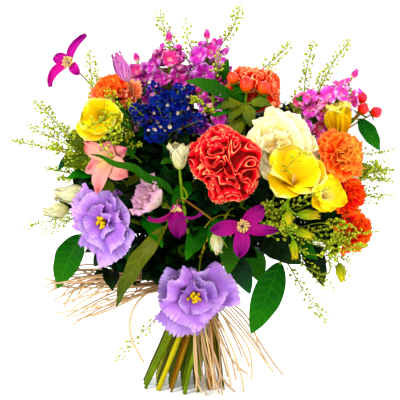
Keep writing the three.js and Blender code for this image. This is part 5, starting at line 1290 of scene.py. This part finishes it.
# Finer sprays between the blooms, from the side of a stem: share, tip and lean
SPRAYS = [
    ("thlaspi_left", [
        (0.7, [-58, -92, 300], [0.2, -0.6, 0.6]), (0.7, [-44, -100, 276], [0.4, -0.8, 0]),
        (0.75, [-52, -96, 288], [0.4, -0.7, 0.3]), (0.8, [-118, -60, 282], [-0.7, -0.4, 0.4]),
        (0.8, [-128, -40, 290], [-0.8, 0, 0.5]), (0.85, [-140, -30, 268], [-0.9, 0, 0.2]),
        (0.9, [-150, -26, 292], [-0.9, 0, 0.5]), (0.9, [-166, -10, 288], [-0.9, 0.2, 0.4]),
        (0.5, [-150, -40, 176], [-0.9, 0, -0.3]), (0.5, [-134, -50, 186], [-0.8, 0, -0.3]),
        (0.9, [-90, -46, 350], [0, 0, 1]),
    ]),
    ("thlaspi_low", [
        (0.6, [112, -138, 196], [0.3, -0.7, -0.2]), (0.7, [132, -122, 186], [0.6, -0.6, 0]),
        (0.7, [126, -116, 168], [0.5, -0.6, -0.4]), (0.7, [142, -110, 176], [0.7, -0.6, -0.2]),
        (0.9, [170, -100, 176], [0.9, -0.4, 0]), (0.8, [150, -106, 190], [0.8, -0.5, 0.2]),
        (0.9, [202, -96, 186], [1, -0.1, 0.1]), (0.9, [186, -100, 172], [0.9, -0.3, 0]),
        (0.9, [196, -70, 166], [1, 0, -0.1]), (0.9, [150, -84, 126], [0.5, 0, -0.9]),
        (0.8, [160, -60, 118], [0.6, 0, -0.7]), (0.85, [176, -50, 132], [0.7, 0, -0.6]),
        (0.7, [146, -150, 238], [0.8, -0.5, 0.3]), (0.7, [131, -165, 281], [0.9, 0, 0.35]),
    ]),
    ("thlaspi_right", [
        (0.7, [212, -10, 222], [0.9, 0, 0.3]), (0.7, [222, 0, 250], [0.8, 0, 0.7]),
        (0.7, [208, -26, 206], [0.9, 0, -0.1]), (0.75, [216, -14, 240], [0.9, 0, 0.3]),
        (0.75, [224, -4, 228], [0.9, 0, 0.1]), (0.7, [204, -30, 232], [0.8, -0.2, 0.2]),
        (0.8, [230, 4, 262], [0.8, 0, 0.5]), (0.7, [214, -16, 210], [0.9, 0, -0.3]),
    ]),
    ("thlaspi_top", [
        (0.8, [28, -118, 318], [0, -0.7, 0.5]), (0.85, [38, -84, 372], [0, 0, 1]),
        (0.9, [4, -50, 402], [0, 0, 1]), (0.85, [96, -60, 356], [0.5, -0.2, 0.8]),
    ]),
    ("thlaspi_right", [(0.8, [150, -40, 350], [0.2, -0.2, 0.9])]),
    ("thlaspi_top", [(0.8, [12, -110, 326], [-0.2, -0.7, 0.5])]),
    ("thlaspi_left", [(0.7, [-130, 40, 250], [-0.8, 0.5, 0.2])]),
    ("thlaspi_right", [(0.6, [180, 70, 250], [0.7, 0.6, 0.2])]),
    ("thlaspi_top", [(0.6, [0, 130, 280], [0, 0.9, 0.3])]),
    ("thlaspi_right", [(0.5, [120, 110, 280], [0.4, 0.8, 0.4])]),
    ("thlaspi_left", [(0.6, [-110, 90, 230], [-0.7, 0.7, 0.1])]),
    ("thlaspi_low", [(0.5, [90, 100, 150], [0.4, 0.8, -0.3])]),
]
for name, rows in SPRAYS:
    for share, tip, lean in rows:
        root, leave = stems[name].spot(share)
        tip = v(*tip)
        line = bezier(root, leave + unit(tip - root), tip, lean, 16, 0.35)
        dress_wand(grow(name, line, 0.9, 0.3), SPRAY_PODS, 0.5)

# Thickets of short sprays: stem, share, the middle of their tips, their spread, how many and their lean
THICKETS = [
    ("thlaspi_low", 0.6, [92, -112, 214], [18, 8, 24], 8, [0.1, -0.6, 0.7]),
    ("thlaspi_low", 0.85, [170, -112, 178], [28, 8, 18], 7, [0.5, -0.4, 0.5]),
    ("thlaspi_right", 0.7, [214, -14, 232], [16, 12, 24], 10, [0.9, 0.0, 0.3]),
    ("thlaspi_right", 0.6, [126, -44, 314], [14, 6, 8], 6, [0.1, -0.5, 0.8]),
    ("thlaspi_left", 0.8, [-108, -62, 262], [24, 10, 26], 15, [-0.5, -0.5, 0.5]),
    ("thlaspi_left", 0.95, [-66, -98, 318], [16, 6, 12], 4, [-0.2, -0.5, 0.8]),
    ("thlaspi_left", 0.9, [-70, -124, 300], [12, 4, 14], 4, [-0.1, -0.3, 0.9]),
]
for name, share, middle, spread, count, lean in THICKETS:
    for k in range(count):
        root, leave = stems[name].spot(share + rng.uniform(-0.1, 0.1))
        tip = v(*middle) + v(*spread) * rng.uniform(-1, 1, 3)
        line = bezier(root, leave + unit(tip - root), tip, v(*lean) + rng.normal(0, 0.7, 3), 14, 0.45)
        dress_wand(grow(name, line, 0.9, 0.3, 4), THICKET_PODS, 0.72, 1.5)
for side, shape in pods.items():
    make("seed_pods_" + side, shape, "pod_green")

# Leaves and stalks that fill the bunch between the stems, near black as painted shade: the bunch's reach at
# each height
HEIGHTS = [132, 150, 180, 220, 260, 300, 330, 360]
REACH = [30, 56, 84, 100, 104, 90, 56, 16]
BUNCH_X = 20
BUNCH_WIDE = 1.15
BUNCH_DEEP = 0.96
INNER_LEAVES = 560
OUTER_LEAVES = 110
INNER_STALKS = 170


def inside_bunch(low, high, near, far):
    """A random place between two shares of the bunch's reach, and the way out from its middle."""
    z = rng.uniform(low, high)
    out = round_z(rng.random() * TAU)
    r = np.interp(z, HEIGHTS, REACH) * sqrt(rng.uniform(near**2, far**2))
    return v(BUNCH_X + BUNCH_WIDE * r * out[0], r * out[1] * BUNCH_DEEP, z), out


def drawn_in(tip, front):
    """The tip of a leaf, kept within the bunch's reach at its height and behind the front blooms."""
    r = hypot((tip[0] - BUNCH_X) / BUNCH_WIDE, tip[1] / BUNCH_DEEP)
    share = min(1, 1.2 * np.interp(tip[2], HEIGHTS, REACH) / r)
    return v(BUNCH_X + (tip[0] - BUNCH_X) * share, max(tip[1] * share, front), tip[2])


for _ in range(INNER_LEAVES):
    base, out = inside_bunch(138, 318, 0.3, 0.94)
    way = unit(out + v(0, 0, rng.uniform(-0.7, 0.8)) + rng.normal(0, 0.35, 3))
    tip = drawn_in(base + way * rng.uniform(24, 46), -106)
    face = unit(v(0, 0, 0.8) + out + rng.normal(0, 0.3, 3))
    leaf(deep, base, tip, rng.uniform(13, 25), face, 0.12, 7, 4, ripple=0.03)
for k in range(OUTER_LEAVES):
    base, out = inside_bunch(150, 300, 0.85, 1.0)
    way = unit(out + v(0, 0, rng.uniform(-0.3, 0.9)) + rng.normal(0, 0.3, 3))
    tip = drawn_in(base + way * rng.uniform(18, 34), -112)
    shape = deep if k % 3 else fresh
    leaf(shape, base, tip, rng.uniform(8, 15), unit(out + v(0, 0, 0.5)), 0.1, 9, 5, ripple=0.04)
for _ in range(INNER_STALKS):
    top, out = inside_bunch(180, 310, 0.4, 0.9)
    base = v(18, 0, rng.uniform(124, 146)) + out * rng.uniform(4, 22)
    way = bezier(base, out * 0.3 + v(0, 0, 1), top, unit(top - base) + rng.normal(0, 0.2, 3), 8, 0.35)
    tube(deep, way, np.linspace(1.1, 0.5, 8), 4)

# Tufts of leaves on stalks of their own, painted near black as shade: stem, share, the middle of the tuft,
# its spread and how many
TUFTS = [
    ("foliage_right", 0.6, [126, -68, 203], [20, 12, 20], 14),
    ("foliage_right", 0.8, [146, -62, 188], [20, 12, 16], 12),
    ("foliage_right", 0.6, [134, -70, 174], [22, 12, 16], 24),
    ("freesia_right", 0.8, [130, -66, 210], [12, 10, 10], 8),
    ("celosia_red", 0.7, [20, -62, 218], [8, 8, 8], 8),
    ("freesia_right", 0.7, [146, -66, 194], [12, 10, 10], 8),
    ("foliage_left", 0.4, [-14, -50, 148], [16, 8, 10], 16),
    ("lisianthus_left", 0.8, [-112, -42, 208], [12, 6, 10], 9),
    ("foliage_left", 0.6, [-60, -50, 150], [24, 12, 14], 16),
    ("foliage_left", 0.4, [-32, -48, 148], [18, 12, 12], 18),
    ("celosia_red", 0.8, [0, -54, 236], [26, 12, 30], 34),
    ("statice", 0.5, [-32, -50, 248], [20, 12, 20], 18),
    ("foliage_right", 0.8, [150, -58, 203], [14, 10, 12], 14),
    ("alstroemeria_left", 0.8, [-96, -44, 252], [14, 12, 20], 16),
    ("freesia_right", 0.6, [90, -84, 208], [20, 10, 24], 14),
    ("foliage_back", 0.7, [20, 70, 200], [50, 16, 30], 26),
]
for name, share, middle, spread, count in TUFTS:
    for k in range(count):
        root, leave = stems[name].spot(share)
        base = v(*middle) + v(*spread) * rng.uniform(-1, 1, 3)
        way = unit(unit(base - root) + rng.normal(0, 0.5, 3))
        tube(deep, bezier(root, leave + way, base + way, way, 6, 0.35), np.linspace(0.9, 0.6, 6), 4)
        face = unit(v(0, copysign(0.7, base[1]), 0.7) + rng.normal(0, 0.4, 3))
        leaf(deep, base, base + way * rng.uniform(18, 32), rng.uniform(11, 19), face, 0.12, 8, 4)


# Raffia: the band round the stems, its knot and the loose ends
def strip(shape, points, width):
    tube(shape, points, width, 6, squash=0.7, spin=rng.random() * 3)


BAND_TURNS = 26
BAND_LOW = 8.5
BAND_HEIGHT = 13
KNOT_LOOPS = 9
band, ends = Shape(), Shape()
cad_low, cad_high = (np.array(corner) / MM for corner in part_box("raffia_band"))
middle, reach = (cad_low + cad_high) / 2, (cad_high - cad_low) / 2
for k in range(BAND_TURNS):
    a = np.linspace(0, TAU, 48, endpoint=False) + rng.random() * TAU
    far = (reach[:, None] - 1.6) * (1 + rng.uniform(-0.02, 0.05)) * (1 + 0.035 * np.cos(6 * (a + 0.4)))
    z = TIE_Z - BAND_LOW + BAND_HEIGHT * k / (BAND_TURNS - 1) + rng.uniform(-3, 3) * np.sin(a)
    ring = np.stack([middle[0] + far[0] * np.cos(a), middle[1] + far[1] * np.sin(a), z], -1)
    tube(band, np.vstack([ring, ring[:2]]), 1.2, 5, squash=0.5)
make("raffia_band_strips", band, "raffia", None, ["raffia_band"])

knot = v(TIE_X - 4, -33, TIE_Z - 2)
for _ in range(KNOT_LOOPS):
    a = np.linspace(0, TAU, 22) + rng.random() * 6
    loop = np.stack([5.2 * np.cos(a), 3.6 * np.sin(a), 1.2 * np.sin(2 * a)], -1)
    strip(ends, knot + loop @ turn_to(rng.normal(0, 1, 3)).T, 1.0)
RAFFIA_TIPS = [
    [-141, -60, 124], [-144, -44, 111], [-135, -62, 93], [-112, -34, 84], [-112, -52, 139], [36, -60, 9],
    [81, -60, 59], [90, -52, 36], [98, -42, 23], [57, -60, 21], [45, -58, 8], [14, -62, 7], [-138, -52, 118],
    [-128, -58, 102], [-118, -58, 78], [-104, -50, 130], [-96, -62, 88], [-124, -40, 128], [-110, -60, 112],
    [-60, -62, 104], [111, -30, 17], [72, -62, 33], [74, -50, 16], [37, -60, 13], [31, -62, 8],
    [64, -58, 44], [86, -46, 48], [52, -62, 12], [66, -56, 6], [-130, -50, 134], [-146, -50, 128],
    [-120, -56, 94], [-88, -60, 120], [-100, -56, 104], [22, -62, 4], [18, -64, 14], [28, -60, 20],
    [40, -64, 4], [-136, -56, 122], [-140, -50, 116], [-122, -60, 114], [-128, -52, 96], [-116, -58, 88],
    [-108, -62, 118], [-94, -58, 112], [-86, -60, 106], [-130, -60, 110], [-124, -56, 120], [-142, -54, 130],
    [-138, -60, 106], [-126, -46, 86], [-118, -64, 104], [-106, -40, 120], [-98, -66, 100], [-132, -66, 126],
    [-114, -48, 82], [-148, -48, 118], [-84, -62, 110], [56, -54, 4], [44, -62, 2], [48, -56, 22],
    [60, -60, 30], [34, -66, 10], [26, -60, 2], [70, -54, 24],
]
for tip in RAFFIA_TIPS:
    tip = v(*tip)
    left = tip[0] < -50
    leave = v(-1, -0.35, 0.12) if left else unit(unit(tip - knot) + v(0, -0.35, 0.35))
    fall = unit(v(-0.8 if left else 0.3, 0, -0.35 if left else -0.8) + rng.normal(0, 0.3, 3))
    start = knot + rng.normal(0, 1.4, 3)
    way = bezier(start, leave + rng.normal(0, 0.08 if left else 0.14, 3), tip, fall, 30, 0.38)
    swing = np.sin(np.linspace(0, rng.uniform(3, 9), 29) + rng.random() * 6)
    way[1:] += swing[:, None] * rng.normal(0, 1.0, 3)
    strip(ends, way, rng.uniform(1.0, 1.5))
down, turning = v(-57, -60, 80), v(-0.05, 0, -1)
loop = np.vstack([
    bezier(knot, v(-1, -0.3, 0.1), down, turning, 20, 0.42),
    bezier(down, turning, v(-42, -58, 38), v(0.5, 0, -0.9), 12, 0.36)[1:],
])
strip(ends, smoothed(loop, 3), 1.6)
make("raffia_ends_strips", ends, "raffia", None, ["raffia_ends"])

# The leaves and the stems become pieces.
make("leaves_dark", dark, "leaf_dark", "leaf_green")
make("leaves_fresh", fresh, "leaf_fresh", "leaf_green")
# Leaves painted near black: painted shade inside the bunch
make("leaves_painted_shade", deep, "leaf_deep", "leaf_green")


def first_match(table, name, otherwise):
    return next((value for start, value in table.items() if name.startswith(start)), otherwise)


for name, shape in wood.items():
    solid = solid_name(name)
    look, slot = first_match(STEM_LOOKS, name, "stem_green"), first_match(STEM_SLOTS, name, "green_stem")
    make(solid + "_grown", shape, look, slot, [solid])

# The floor, the light and the camera
FLOOR_HALF = 9
FLOOR_Z = -0.0005
corners = [(x * FLOOR_HALF, y * FLOOR_HALF, FLOOR_Z) for x, y in [(-1, -1), (1, -1), (1, 1), (-1, 1)]]
floor_mesh = bpy.data.meshes.new("floor")
floor_mesh.from_pydata(corners, [], [(0, 1, 2, 3)])
floor = bpy.data.objects.new("floor", floor_mesh)
bpy.context.scene.collection.objects.link(floor)
pale = bpy.data.materials.new("pale_floor")
pale.use_nodes = True
shader = pale.node_tree.nodes["Principled BSDF"]
shader.inputs["Base Color"].default_value = (0.97, 0.97, 0.97, 1)
shader.inputs["Roughness"].default_value = 0.9
floor.data.materials.append(pale)

world = bpy.data.worlds.new("studio")
bpy.context.scene.world = world
world.use_nodes = True
world.node_tree.nodes["Background"].inputs["Color"].default_value = (1, 1, 1, 1)
world.node_tree.nodes["Background"].inputs["Strength"].default_value = 1.5
LIT_POINT = (0.02, 0, 0.2)


def aimed(item, target):
    item.rotation_euler = (Vector(target) - item.location).to_track_quat("-Z", "Y").to_euler()
    bpy.context.scene.collection.objects.link(item)


def lamp(name, place, size, power):
    light = bpy.data.lights.new(name, "AREA")
    light.size = size
    light.energy = power
    holder = bpy.data.objects.new(name, light)
    holder.location = place
    aimed(holder, LIT_POINT)


lamp("key", (-1.2, -1.6, 1.7), 1.0, 50)
lamp("fill", (1.6, -1.2, 0.9), 1.6, 18)
lamp("back", (0.4, 1.8, 1.5), 1.4, 20)

camera_data = bpy.data.cameras.new("camera")
camera_data.lens = VIEW_LENS
camera_data.sensor_width = VIEW_SENSOR
camera = bpy.data.objects.new("camera", camera_data)
towards = Vector((0, -cos(VIEW_ELEVATION), sin(VIEW_ELEVATION)))
camera.location = Vector(VIEW_TARGET) + VIEW_DISTANCE * towards
aimed(camera, VIEW_TARGET)
bpy.context.scene.camera = camera
bpy.context.scene.view_settings.view_transform = "Standard"
